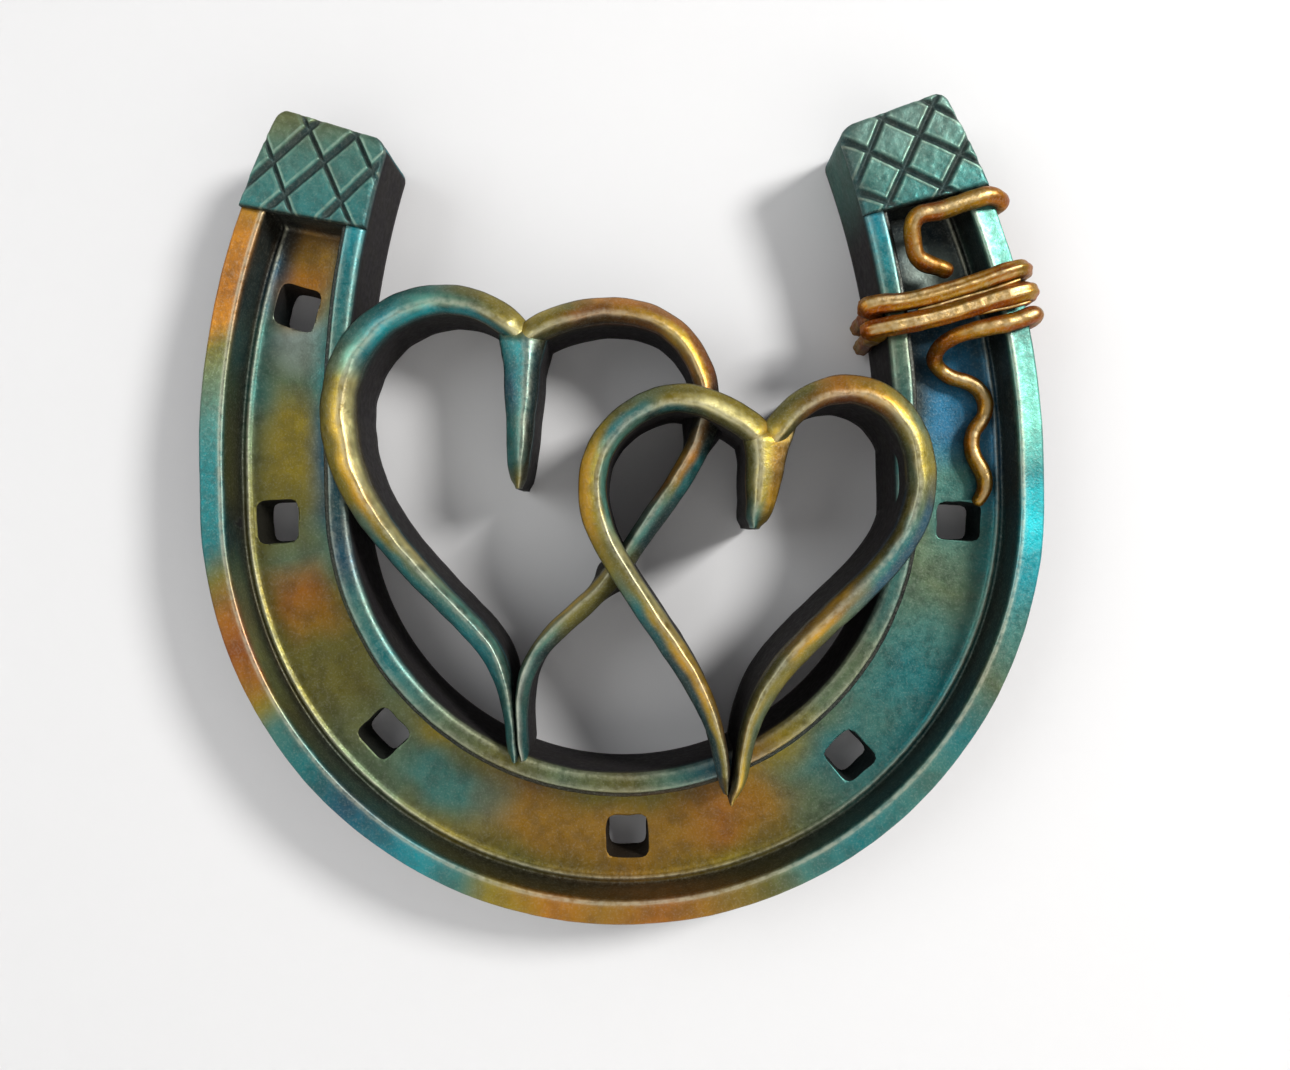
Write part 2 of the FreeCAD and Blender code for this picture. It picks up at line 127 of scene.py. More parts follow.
def ramp(value, start, end):
    """0 below start, 1 above end, smooth between them."""
    t = np.clip((value - start) / (end - start), 0, 1)
    return t * t * (3 - 2 * t)


# ---------------------------------------------------------------- curves and meshes


def natural_spline(knots, values, wanted):
    """Values of a natural cubic spline through values at knots."""
    n = len(knots)
    gaps = np.diff(knots)
    system = np.eye(n)
    right = np.zeros((n, values.shape[1]))
    for i in range(1, n - 1):
        system[i, i - 1 : i + 2] = gaps[i - 1], 2 * (gaps[i - 1] + gaps[i]), gaps[i]
        slopes = (values[i + 1] - values[i]) / gaps[i] - (values[i] - values[i - 1]) / gaps[i - 1]
        right[i] = 6 * slopes
    bends = np.linalg.solve(system, right)
    i = np.clip(np.searchsorted(knots, wanted) - 1, 0, n - 2)
    a = ((knots[i + 1] - wanted) / gaps[i])[:, None]
    b = ((wanted - knots[i]) / gaps[i])[:, None]
    square = (gaps[i] ** 2 / 6)[:, None]
    return a * values[i] + b * values[i + 1] + ((a**3 - a) * bends[i] + (b**3 - b) * bends[i + 1]) * square


def smooth_path(stations, columns, step):
    """Stations resampled every step along a smooth curve; the first columns are places."""
    rows = np.array(stations, float)
    knots = np.r_[0, np.cumsum(np.linalg.norm(np.diff(rows[:, :columns], axis=0), axis=1))]
    fine = natural_spline(knots, rows, np.linspace(0, knots[-1], 1500))
    run = np.r_[0, np.cumsum(np.linalg.norm(np.diff(fine[:, :columns], axis=0), axis=1))]
    wanted = np.linspace(0, run[-1], int(run[-1] / step) + 2)
    path = np.stack([np.interp(wanted, run, fine[:, k]) for k in range(rows.shape[1])], axis=1)
    return path, wanted


def tangents(points):
    along = np.gradient(points, axis=0)
    return along / np.linalg.norm(along, axis=1)[:, None]


def noise_at(points, size, seed):
    """Smooth noise with features of about one size, in millimetres, at each point."""
    shift = Vector((seed * 17.3, seed * 5.1, seed * 9.7))
    return np.array([noise.noise(Vector(p) / size + shift) for p in points])


def lofted(name, rings):
    """A closed mesh through rings of points, capped at both ends. rings is rows x columns x 3."""
    rows, columns, _ = rings.shape
    grid = np.arange(rows * columns).reshape(rows, columns)
    following = np.roll(grid, -1, axis=1)
    quads = np.stack([grid[:-1], following[:-1], following[1:], grid[1:]], axis=-1).reshape(-1, 4)
    faces = quads.tolist()
    faces.append(grid[0][::-1].tolist())
    faces.append(grid[-1].tolist())
    mesh = bpy.data.meshes.new(name)
    mesh.from_pydata((rings.reshape(-1, 3) * MM).tolist(), [], faces)
    return finished_mesh(name, mesh)


def finished_mesh(name, mesh):
    """Turn the faces outwards, shade them smooth and make the object."""
    work = bmesh.new()
    work.from_mesh(mesh)
    bmesh.ops.triangulate(work, faces=[f for f in work.faces if len(f.verts) > 4])
    bmesh.ops.recalc_face_normals(work, faces=work.faces)
    work.to_mesh(mesh)
    work.free()
    mesh.shade_smooth()
    thing = bpy.data.objects.new(name, mesh)
    bpy.context.scene.collection.objects.link(thing)
    return thing


def coordinates(thing):
    """The mesh's points and normals, in millimetres."""
    count = len(thing.data.vertices)
    points = np.empty(count * 3)
    normals = np.empty(count * 3)
    thing.data.vertices.foreach_get("co", points)
    thing.data.vertices.foreach_get("normal", normals)
    return points.reshape(-1, 3) / MM, normals.reshape(-1, 3)


def move_to(thing, points):
    """Put the mesh's points back, never behind the flat back."""
    points[:, 1] = np.minimum(points[:, 1], 0)
    thing.data.vertices.foreach_set("co", (points * MM).ravel())
    thing.data.update()


def roughen(thing, layers, seed):
    """Push the surface in and out by layers of (size, depth) noise, leaving the back flat."""
    points, normals = coordinates(thing)
    push = np.zeros(len(points))
    for number, (size, depth) in enumerate(layers):
        push += depth * noise_at(points, size, seed + number)
    push *= ramp(-points[:, 1], 0.0, 1.0)
    move_to(thing, points + normals * push[:, None])


def paint(thing, colour, wear_and_highlight, bare):
    """Store the paint, how much is made bright by rubbed wear and painted highlights, and how much is bare black
    casting (on the strands, the sides in painted shade), point by point.
    """
    mesh = thing.data
    colours = mesh.attributes.new("paint", "FLOAT_COLOR", "POINT")
    colours.data.foreach_set("color", np.c_[np.clip(colour, 0, 1), np.ones(len(colour))].ravel())
    worn_and_lit = mesh.attributes.new("wear_and_highlight", "FLOAT", "POINT")
    worn_and_lit.data.foreach_set("value", np.clip(wear_and_highlight, 0, 1))
    black = mesh.attributes.new("bare", "FLOAT", "POINT")
    black.data.foreach_set("value", np.clip(bare, 0, 1))


# ---------------------------------------------------------------- material

# the colour sockets of a Mix node share their names with its number and vector sockets
COLOUR_A, COLOUR_B, COLOUR_RESULT = 6, 7, 2


def patina(name, metallic, roughness, grain):
    """Metallic paint over cast resin: brushed on unevenly, speckled, and made bright on the crests by rubbed wear and
    painted highlights.
    """
    material = bpy.data.materials.new(name)
    material.use_nodes = True
    tree = material.node_tree
    nodes, links = tree.nodes, tree.links
    shader = nodes["Principled BSDF"]
    shader.inputs["Specular IOR Level"].default_value = 0.22

    place = nodes.new("ShaderNodeTexCoord").outputs["Object"]

    def noise_node(size_mm, detail, rough):
        node = nodes.new("ShaderNodeTexNoise")
        node.inputs["Scale"].default_value = 1000 / size_mm
        node.inputs["Detail"].default_value = detail
        node.inputs["Roughness"].default_value = rough
        links.new(place, node.inputs["Vector"])
        return node.outputs["Fac"]

    def mapped(value, low, high, to_low, to_high):
        node = nodes.new("ShaderNodeMapRange")
        node.interpolation_type = "SMOOTHSTEP"
        links.new(value, node.inputs["Value"])
        for socket, number in zip(("From Min", "From Max", "To Min", "To Max"), (low, high, to_low, to_high)):
            node.inputs[socket].default_value = number
        return node.outputs["Result"]

    def math_node(operation, a, b):
        node = nodes.new("ShaderNodeMath")
        node.operation = operation
        for socket, value in zip(node.inputs, (a, b)):
            if isinstance(value, float):
                socket.default_value = value
            else:
                links.new(value, socket)
        return node.outputs["Value"]

    def mix_node(factor, a, b, kind="MIX"):
        node = nodes.new("ShaderNodeMix")
        node.data_type = "RGBA"
        node.blend_type = kind
        links.new(factor, node.inputs["Factor"])
        for socket, value in ((node.inputs[COLOUR_A], a), (node.inputs[COLOUR_B], b)):
            if isinstance(value, tuple):
                socket.default_value = value
            else:
                links.new(value, socket)
        return node.outputs[COLOUR_RESULT]

    base = nodes.new("ShaderNodeAttribute")
    base.attribute_name = "paint"
    worn_and_lit = nodes.new("ShaderNodeAttribute")
    worn_and_lit.attribute_name = "wear_and_highlight"
    bare = nodes.new("ShaderNodeAttribute")
    bare.attribute_name = "bare"
    coated = math_node("SUBTRACT", 1.0, bare.outputs["Fac"])
    links.new(math_node("MULTIPLY", coated, metallic), shader.inputs["Metallic"])

    blotches = noise_node(3.2, 4, 0.6)
    streaks = noise_node(0.9, 5, 0.65)
    flakes = noise_node(0.32, 3, 0.6)

    shade = mix_node(mapped(blotches, 0.40, 0.66, 0.0, 0.30), base.outputs["Color"], (0.02, 0.018, 0.012, 1))
    # paler paint where the points are marked: rubbed wear, and painted highlights on crests, ridges, burrs and strand
    # tops
    rubbed_and_lit = math_node("MULTIPLY", mapped(streaks, 0.30, 0.62, 0.25, 0.60), worn_and_lit.outputs["Fac"])
    bright = mix_node(rubbed_and_lit, shade, (0.72, 0.70, 0.52, 1))
    speckle = math_node("MULTIPLY", mapped(flakes, 0.46, 0.74, 0.0, grain), coated)
    final = mix_node(speckle, bright, (0.62, 0.66, 0.56, 1))
    links.new(final, shader.inputs["Base Color"])

    gloss = mapped(streaks, 0.3, 0.7, roughness - 0.08, roughness + 0.14)
    dull = math_node("MULTIPLY", bare.outputs["Fac"], 0.4)
    links.new(math_node("ADD", gloss, dull), shader.inputs["Roughness"])

    relief = math_node("ADD", math_node("MULTIPLY", streaks, 0.45), math_node("MULTIPLY", flakes, 0.55))
    bump = nodes.new("ShaderNodeBump")
    bump.inputs["Strength"].default_value = 0.5
    bump.inputs["Distance"].default_value = 0.11 * MM
    links.new(relief, bump.inputs["Height"])
    links.new(bump.outputs["Normal"], shader.inputs["Normal"])
    return material


SHOE_PAINT = patina("shoe_patina", 0.78, 0.43, 0.11)
PAD_PAINT = patina("pad_patina", 0.70, 0.45, 0.10)
HEART_PAINT = patina("heart_patina", 0.82, 0.40, 0.14)
COPPER_PAINT = patina("copper_paint", 0.80, 0.38, 0.14)


def place_piece(thing, material, slot, *nodes):
    """Ride on the one body, stand for the CAD nodes and take the material. slot is not used."""
    thing.data.materials.append(material)
    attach(thing, "root")
    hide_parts(*nodes)
    return thing


# ---------------------------------------------------------------- the shoe's shape


def lean(z, arm):
    """How far an arm's side has leant in at height z."""
    start, radius = arm
    rise = np.maximum(0, z - start)
    return radius - np.sqrt(radius**2 - rise**2)


def outer_x(z):
    return OUTER_RADIUS - lean(z, OUTER_ARM)


def inner_x(z):
    return INNER_RADIUS - lean(z, INNER_ARM)


def shoe_stations(step):
    """Matching points on the outside and the inside, and the way round from the toe."""
    half_arm = HEEL_TOP
    arm = np.linspace(half_arm, 0, int(half_arm / step))[:-1]
    toe = np.radians(np.linspace(-90, 90, int(math.pi * 50 / step)))
    share = arm / half_arm
    inner_z = INNER_RISE + share * (HEEL_INNER_TOP - INNER_RISE)
    left_out = np.stack([-outer_x(arm), arm], axis=1)
    left_in = np.stack([-inner_x(inner_z), inner_z], axis=1)
    toe_out = OUTER_RADIUS * np.stack([np.sin(toe), -np.cos(toe)], axis=1)
    toe_in = INNER_RADIUS * np.stack([np.sin(toe), -np.cos(toe)], axis=1) + (0, INNER_RISE)
    mirror = np.array([-1, 1])
    outside = np.concatenate([left_out, toe_out, left_out[::-1] * mirror])
    inside = np.concatenate([left_in, toe_in, left_in[::-1] * mirror])
    from_heel = np.concatenate([half_arm - arm, np.full(len(toe), half_arm), (half_arm - arm)[::-1]])
    return outside, inside, from_heel


def shoe_profile(width, fill):
    """The cross-section from the back's outer corner over the front to the back's inner corner.

    Each point is (distance from the outside, height). fill raises the channel to a solid heel.
    """
    seat = THICKNESS - 0.8
    crest = THICKNESS - 0.05
    outer = [
        (0.0, 0.0), (0.0, 1.0), (0.0, 2.5), (0.0, 4.5), (0.0, 6.5), (0.0, 8.5), (0.0, 9.8), (0.01, 10.7),
        (0.05, 11.1), (0.14, 11.36), (0.3, 11.52), (0.6, 11.58), (1.2, 11.62), (1.9, 11.68), (2.5, 11.78),
        (2.9, 11.9), (3.15, crest), (3.38, crest), (3.55, 11.9), (3.68, 11.7), (3.78, 11.3), (3.85, 10.6), (3.9, 9.6),
        (3.95, 8.5), (4.0, 7.4), (4.06, 6.7), (4.15, 6.35), (4.3, 6.2),
    ]
    lip = [(4.55, 6.2), (4.75, 6.38), (4.95, 6.5), (5.15, 6.42), (5.35, 6.16), (5.6, 6.0), (6.0, 5.93)]
    inner = [
        (5.2, 5.9), (4.6, 5.95), (4.2, 6.1), (3.95, 6.5), (3.85, 7.4), (3.8, 8.5), (3.75, 9.6), (3.7, 10.5),
        (3.6, 10.95), (3.45, 11.15), (3.25, 11.2), (3.1, 11.2), (3.0, 11.3), (2.92, 11.6), (2.8, 11.85),
        (2.6, crest), (2.3, crest), (1.8, 11.9), (1.3, 11.85), (0.9, 11.8), (0.6, 11.68), (0.35, 11.45),
        (0.18, 11.1), (0.06, 10.6), (0.0, 9.8), (0.0, 8.0), (0.0, 6.0), (0.0, 4.0), (0.0, 2.0), (0.0, 0.8),
        (0.0, 0.0),
    ]
    floor_from = lip[-1][0]
    floor_to = width - inner[0][0]
    middle = [(a, FLOOR - 0.07 - 0.15 * math.sin(math.pi * share))
              for share in np.linspace(0, 1, 26)[1:-1]
              for a in [floor_from + share * (floor_to - floor_from)]]
    back = [(width * share, 0.0) for share in np.linspace(1, 0, 12)[1:-1]]
    points = outer + lip + middle + [(width - a, height) for a, height in inner] + back
    profile = np.array(points)
    in_channel = (profile[:, 0] > 3.3) & (profile[:, 0] < width - 2.5) & (profile[:, 1] > 1.0)
    profile[in_channel, 1] += fill * (seat - profile[in_channel, 1])
    if fill > 0:
        profile[:, 1] = np.minimum(profile[:, 1], THICKNESS - 0.8 * fill)
    return profile


def corner_inset(from_end, radius):
    """How far a rounded corner has drawn in the side at some distance from the end."""
    short = max(0.0, radius - from_end)
    return radius - math.sqrt(radius**2 - short**2)


def shoe_rings(step):
    outside, inside, from_heel = shoe_stations(step)
    pad_length = HEEL_TOP - PAD_FROM
    rings = []
    for out, into, far in zip(outside, inside, from_heel):
        across = into - out
        full = np.linalg.norm(across)
        across = across / full
        draw_out = corner_inset(far, HEEL_OUTER_ROUND)
        draw_in = corner_inset(far, HEEL_INNER_ROUND)
        fill = 1 - float(ramp(np.array(far), pad_length - 0.5, pad_length + 0.35))
        profile = shoe_profile(full, fill)
        a = draw_out + profile[:, 0] * (full - draw_out - draw_in) / full
        places = out + across * a[:, None]
        rings.append(np.stack([places[:, 0], -profile[:, 1], places[:, 1]], axis=1))
    return np.array(rings)


# each nail hole round the toe: degrees from the toe, millimetres outside the nail circle, width, height
TOE_NAIL_HOLES = [
    (-88.6, 1.5, 6.1, 6.5), (-47.7, -0.6, 6.1, 6.2), (-0.8, -0.5, 6.2, 6.4), (40.4, 0.5, 5.9, 6.3),
    (85.5, 0.0, 6.5, 5.8),
]
# every hole: centre, turn in degrees, width, height
NAIL_HOLES = [((-47.3, 30.2), -17.0, 6.3, 6.3)]
for angle, outside, hole_width, hole_height in TOE_NAIL_HOLES:
    around = math.radians(angle)
    reach_out = NAIL_CIRCLE + outside
    hole_centre = (reach_out * math.sin(around), -reach_out * math.cos(around))
    NAIL_HOLES.append((hole_centre, angle - round(angle / 90) * 90, hole_width, hole_height))


def nail_hole_cutter(number, centre, turn, across, along):
    """A square plug with uneven rounded corners that narrows towards the back."""
    turn = math.radians(turn)
    rings = []
    sides = 40
    for height in np.linspace(-1.0, 7.6, 24):
        narrow = 0.90 + 0.10 * height / FLOOR if height < FLOOR else 1.0 + 0.10 * (height - FLOOR)
        ring = []
        for k in range(sides):
            angle = 2 * math.pi * k / sides
            c, s = math.cos(angle), math.sin(angle)
            reach = (abs(c) ** 5.5 + abs(s) ** 5.5) ** (-1 / 5.5)
            reach *= 1 + 0.06 * noise.noise(Vector((c * 1.5, s * 1.5, height * 0.25 + 9.3 * number)))
            a = reach * c * across / 2 * narrow
            b = reach * s * along / 2 * narrow
            x = centre[0] + a * math.cos(turn) - b * math.sin(turn)
            z = centre[1] + a * math.sin(turn) + b * math.cos(turn)
            ring.append((x, -height, z))
        rings.append(ring)
    return lofted(f"cutter_{number}", np.array(rings))


def cut_away(thing, cutters):
    """Cut the plugs out of the mesh and remove them."""
    for cutter in cutters:
        modifier = thing.modifiers.new("nail_hole", "BOOLEAN")
        modifier.operation = "DIFFERENCE"
        modifier.solver = "EXACT"
        modifier.object = cutter
    shaped = thing.evaluated_get(bpy.context.evaluated_depsgraph_get())
    mesh = bpy.data.meshes.new_from_object(shaped)
    thing.modifiers.clear()
    thing.data = mesh
    mesh.shade_smooth()
    for cutter in cutters:
        bpy.data.objects.remove(cutter)


# ---------------------------------------------------------------- the shoe's paint

# Stations are (way round, paint): degrees from the toe, then 90 plus the height up the arm, left negative.
OUTER_RIM_PAINT = [
    (-134, "brown_gold"), (-130, "orange"), (-122, "copper"), (-117, "orange"), (-113, "olive"),
    (-108, "grey_green"), (-102, "grey_teal"), (-96, "teal"), (-84, "teal"), (-80, "olive"),
    (-76, "copper"), (-71, "deep_copper"), (-66, "copper"), (-62, "olive_gold"), (-57, "grey_teal"),
    (-50, "teal"), (-42, "blue_teal"), (-32, "cyan"), (-24, "grey_teal"), (-18, "olive_gold"),
    (-12, "orange"), (-4, "brown_gold"), (4, "copper"), (12, "brown_gold"), (19, "olive"),
    (26, "grey_teal"), (34, "teal"), (46, "grey_teal"), (54, "teal"), (62, "grey_green"),
    (70, "grey_teal"), (78, "cyan"), (86, "bright_cyan"), (93, "teal"), (100, "pale_teal"),
    (112, "grey_teal"), (120, "grey_teal"), (127, "pale_teal"), (134, "grey_teal"),
]
FLOOR_OUTER_PAINT = [
    (-134, "black"), (-129, "navy"), (-124, "blue_teal"), (-117, "grey_teal"), (-108, "grey_teal"),
    (-100, "grey_green"), (-90, "olive"), (-80, "olive"), (-70, "olive"), (-60, "olive"), (-50, "grey_green"),
    (-40, "grey_green"), (-30, "olive_gold"), (-18, "olive"), (0, "brown_gold"), (15, "olive_gold"),
    (26, "olive"), (36, "grey_teal"), (48, "teal"), (60, "teal"), (72, "grey_teal"), (84, "teal"),
    (92, "blue"), (104, "blue"), (112, "blue_teal"), (120, "navy"), (134, "black"),
]
FLOOR_MIDDLE_PAINT = [
    (-134, "black"), (-131, "brown"), (-128, "brown_gold"), (-124, "orange"), (-119, "brown_gold"),
    (-115, "silver"), (-110, "grey_green"), (-104, "olive_gold"), (-96, "olive_gold"), (-90, "olive"),
    (-82, "grey_green"), (-76, "copper"), (-70, "brown_gold"), (-66, "olive"), (-56, "olive"),
    (-46, "grey_green"), (-38, "grey_teal"), (-30, "grey_teal"), (-20, "brown_gold"), (-10, "brown_gold"),
    (0, "brown_gold"), (8, "brown_gold"), (16, "copper"), (24, "brown_gold"), (30, "grey_green"),
    (38, "teal"), (48, "grey_teal"), (58, "teal"), (66, "grey_teal"), (74, "grey_green"), (84, "grey_teal"),
    (92, "grey_teal"), (100, "blue"), (110, "blue"), (117, "navy"), (124, "silver"), (128, "navy"),
    (134, "black"),
]
FLOOR_INNER_PAINT = [
    (-134, "black"), (-130, "brown"), (-124, "grey_green"), (-117, "grey_teal"), (-111, "teal"),
    (-102, "blue_teal"), (-92, "blue_teal"), (-84, "grey_teal"), (-74, "olive"), (-64, "olive"),
    (-52, "grey_green"), (-42, "olive_gold"), (-32, "olive"), (-20, "brown"), (-8, "olive"), (4, "olive"),
    (14, "brown"), (22, "brown_gold"), (30, "olive_gold"), (40, "grey_green"), (52, "grey_teal"),
    (64, "grey_teal"), (76, "grey_green"), (90, "grey_green"), (104, "navy"), (114, "navy"), (128, "navy"),
    (134, "black"),
]
INNER_RIM_PAINT = [
    (-134, "cyan"), (-128, "cyan"), (-120, "teal"), (-112, "grey_teal"), (-104, "blue_teal"),
    (-90, "deep_teal"), (-80, "blue_teal"), (-70, "grey_teal"), (-58, "teal"), (-48, "grey_teal"),
    (-38, "grey_green"), (-26, "olive"), (-14, "grey_green"), (0, "olive"), (12, "grey_teal"),
    (20, "blue_teal"), (26, "brown_gold"), (34, "olive_gold"), (44, "grey_green"), (56, "grey_green"),
    (66, "grey_teal"), (78, "grey_teal"), (92, "teal"), (104, "grey_teal"), (114, "grey_green"),
    (120, "teal"), (126, "cyan"), (134, "blue"),
]


# painted shade: the channel's walls are painted in darkened colours
CHANNEL_WALL_SHADE = [
    (-134, "navy"), (-122, "deep_teal"), (-112, "deep_teal"), (-106, "olive_dark"), (-94, "olive_dark"),
    (-84, "deep_teal"), (-70, "grey_green"), (-58, "olive_dark"), (-40, "deep_teal"), (-28, "olive_dark"),
    (-12, "olive_dark"), (6, "brown"), (18, "olive_dark"), (32, "deep_teal"), (60, "navy"), (134, "navy"),
]


def way_round(points):
    """Degrees from the toe below the arcs' centre; above it, 90 plus the height in millimetres."""
    x, z = points[:, 0], points[:, 2]
    on_toe = np.degrees(np.arctan2(x, np.maximum(-z, 0)))
    return np.where(z < 0, on_toe, np.sign(x) * (90 + z))


def from_edges(points):
    """Distance from the shoe's outside and from its inside."""
    x, z = points[:, 0], points[:, 2]
    up = np.maximum(z, 0)
    out_toe = OUTER_RADIUS - np.hypot(x, z)
    in_toe = np.hypot(x, z - INNER_RISE) - INNER_RADIUS
    out_arm = (outer_x(up) - np.abs(x)) * np.cos(np.arcsin(np.maximum(0, up - OUTER_ARM[0]) / OUTER_ARM[1]))
    in_arm = (np.abs(x) - inner_x(up)) * np.cos(np.arcsin(np.maximum(0, up - INNER_ARM[0]) / INNER_ARM[1]))
    return np.where(z < 0, out_toe, out_arm), np.where(z < 0, in_toe, in_arm)


def paint_shoe(shoe):
    points, normals = coordinates(shoe)
    height = -points[:, 1]
    way = way_round(points) + 2.5 * noise_at(points, 6.0, 3)
    out, into = from_edges(points)
    width = out + into
    across = np.clip((out - OUTER_RIM) / (width - OUTER_RIM - INNER_RIM), 0, 1)
    across = np.clip(across + 0.10 * noise_at(points, 5.0, 5), 0, 1)

    floor = mix(blend_along(FLOOR_OUTER_PAINT, way), blend_along(FLOOR_MIDDLE_PAINT, way), ramp(across, 0.08, 0.42))
    floor = mix(floor, blend_along(FLOOR_INNER_PAINT, way), ramp(across, 0.58, 0.92))
    outer = blend_along(OUTER_RIM_PAINT, way)
    inner = blend_along(INNER_RIM_PAINT, way)
    colour = floor
    colour = mix(colour, inner, ramp(-into, -INNER_RIM - 0.5, -INNER_RIM + 0.1))
    colour = mix(colour, outer, ramp(-out, -OUTER_RIM - 0.9, -OUTER_RIM - 0.2))

    # black for painted shade in the creases and under the pads, and for the dark walls of the nail holes
    shade_and_dark_paint = PAINT["black"] * 0.8
    # painted shade on the channel's walls
    in_wall = ramp(height, 6.35, 6.9) * ramp(-height, -11.8, -11.1)
    between = (out > 2.6) & (into > 2.0)
    colour = mix(colour, blend_along(CHANNEL_WALL_SHADE, way), in_wall * between * 0.95)
    # painted shade: dark lines in the creases along both edges of the channel
    crease_shade = ramp(-np.abs(into - 3.2), -0.55, -0.15) + ramp(-np.abs(out - 4.25), -0.4, -0.12)
    colour = mix(colour, shade_and_dark_paint, 0.85 * np.clip(crease_shade, 0, 1) * (height < 11.35))
    hole = np.min([np.hypot(points[:, 0] - h[0][0], points[:, 2] - h[0][1]) for h in NAIL_HOLES], axis=0)
    facing = -normals[:, 1]
    colour = mix(colour, shade_and_dark_paint, 0.95 * ramp(-facing, -0.75, -0.2) * (hole < 5.0))
    # painted shadow: a dark band across the channel at each heel pad's lower edge
    pad_shadow_line = np.abs(np.abs(way) - (90 + PAD_FROM - 1.2))
    colour = mix(colour, shade_and_dark_paint, 0.9 * ramp(-pad_shadow_line, -2.6, -0.4) * (height < 11.6) * between)

    side = ramp(-np.minimum(out, into), -0.6, -0.25) * ramp(-height, -11.5, -11.0)
    back = ramp(normals[:, 1], 0.3, 0.7)
    end = ramp(normals[:, 2], 0.3, 0.7) * ramp(points[:, 2], 49, 50.5) * ramp(-height, -11.5, -11.0)
    plain = np.maximum(np.maximum(side, back), end)
    green_heel = ramp(points[:, 0], 20, 30) * ramp(points[:, 2], 36, 48)
    # the side walls, ends and back take the dark wall paint; the back's is made lighter as painted light, so the back
    # reads lit from behind
    dark = mix(np.tile(PAINT["wall"] * 0.75, (len(points), 1)), PAINT["wall"] * 1.8, back)
    dark = mix(dark, PAINT["grey_teal"] * 0.45, green_heel * (1 - back))
    colour = mix(colour, dark, plain)

    # painted highlights with some rubbed wear: thin bright lines along the rims' crests and the channel's lip
    lines = ramp(-np.abs(out - 3.3), -0.5, -0.1) * (height > 11.6)
    lines += ramp(-np.abs(out - 4.95), -0.3, -0.1) * (height > 6.3) * (height < 7.0)
    lines += 0.6 * ramp(-np.abs(into - 2.6), -0.5, -0.1) * (height > 11.6)
    lines += 0.45 * ramp(-np.abs(into - 0.6), -0.6, -0.1) * (height > 11.2)
    lit = 0.08 + 0.72 * np.clip(lines, 0, 1)
    bare = plain * (1 - 0.6 * green_heel * (1 - back))
    bare = np.maximum(bare, ramp(-facing, -0.75, -0.2) * (hole < 5.0))
    paint(shoe, colour, lit * (1 - bare), bare)


def make_shoe():
    shoe = lofted("shoe_body_cast", shoe_rings(0.45))
    cut_away(shoe, [nail_hole_cutter(n, *hole) for n, hole in enumerate(NAIL_HOLES)])
    roughen(shoe, [(9.0, 0.08), (2.5, 0.035), (0.8, 0.014)], 11)
    paint_shoe(shoe)
    return place_piece(shoe, SHOE_PAINT, "shoe_patina", "shoe_body")


make_shoe()


# ---------------------------------------------------------------- heel pads

LEFT, RIGHT = -1, 1
PAD_TOP = THICKNESS + 0.68
PAD_SEAT = THICKNESS - 0.8

# ends of each groove in millimetres, with its width
GROOVES = {
    LEFT: [
        ((-50.0, 55.8), (-44.9, 40.0), 0.8), ((-43.9, 56.6), (-36.4, 38.2), 0.8),
        ((-36.8, 54.2), (-32.5, 44.0), 0.8), ((-52.4, 45.5), (-40.2, 55.7), 1.3),
        ((-47.5, 43.6), (-34.0, 54.4), 1.3), ((-42.4, 39.8), (-32.4, 49.0), 1.3),
    ],
    RIGHT: [
        ((46.4, 57.2), (37.5, 38.9), 1.1), ((39.8, 57.0), (33.0, 41.3), 1.1), ((51.3, 52.3), (45.3, 41.1), 1.1),
        ((40.8, 57.1), (50.2, 52.0), 1.1), ((33.6, 55.2), (50.6, 47.0), 1.1),
        ((31.2, 50.9), (48.2, 42.2), 1.1), ((32.0, 44.0), (40.6, 40.2), 1.1),
    ],
}


def off_line(places, start, end):
    """Signed distance of each place from the line through two points."""
    along = np.array(end) - np.array(start)
    along = along / np.linalg.norm(along)
    apart = places - np.array(start)
    return apart[:, 0] * along[1] - apart[:, 1] * along[0]


def groove_depth(places, side):
    """Depth of the V grooves at each place, and how near it is to a groove's raised edge, stronger on the left, which
    is both a small burr and a painted highlight.
    """
    depth = np.zeros(len(places))
    burr_and_highlight = np.zeros(len(places))
    for start, end, width in GROOVES[side]:
        off = off_line(places, start, end)
        half = width / 2
        cut = 0.62 * np.clip(1 - np.abs(off) / half, 0, 1) ** 0.8
        depth = np.maximum(depth, cut)
        edge = ramp(-np.abs(np.abs(off) - half - 0.18), -0.28, -0.05)
        burr_and_highlight = np.maximum(burr_and_highlight, edge * (0.35 + 0.65 * (off * side > 0)))
    return depth, burr_and_highlight * (depth < 0.05)


def pad_places(side, rows, columns):
    """Places over one heel, row by row from the lower edge to the heel's end, outside to inside."""
    share_up = np.linspace(0, 1, rows)
    share_across = np.linspace(0, 1, columns)
    grid = np.empty((rows, columns, 2))
    edge = np.empty((rows, columns))
    to_inside = np.empty((rows, columns))
    pad_length = HEEL_TOP - PAD_FROM
    for i, up in enumerate(share_up):
        outer_z = PAD_FROM + up * pad_length
        share = outer_z / HEEL_TOP
        inner_z = INNER_RISE + share * (HEEL_INNER_TOP - INNER_RISE)
        out = np.array([outer_x(outer_z), outer_z])
        into = np.array([inner_x(inner_z), inner_z])
        across = into - out
        full = np.linalg.norm(across)
        far = pad_length * (1 - up)
        begin = corner_inset(far, HEEL_OUTER_ROUND)
        stop = full - corner_inset(far, HEEL_INNER_ROUND)
        a = begin + (stop - begin) * share_across
        grid[i] = out + across / full * a[:, None]
        to_side = np.minimum(a - begin, stop - a)
        edge[i] = np.minimum(np.minimum(to_side, far), up * pad_length)
        to_inside[i] = stop - a
    grid[..., 0] *= side
    return grid, edge, to_inside


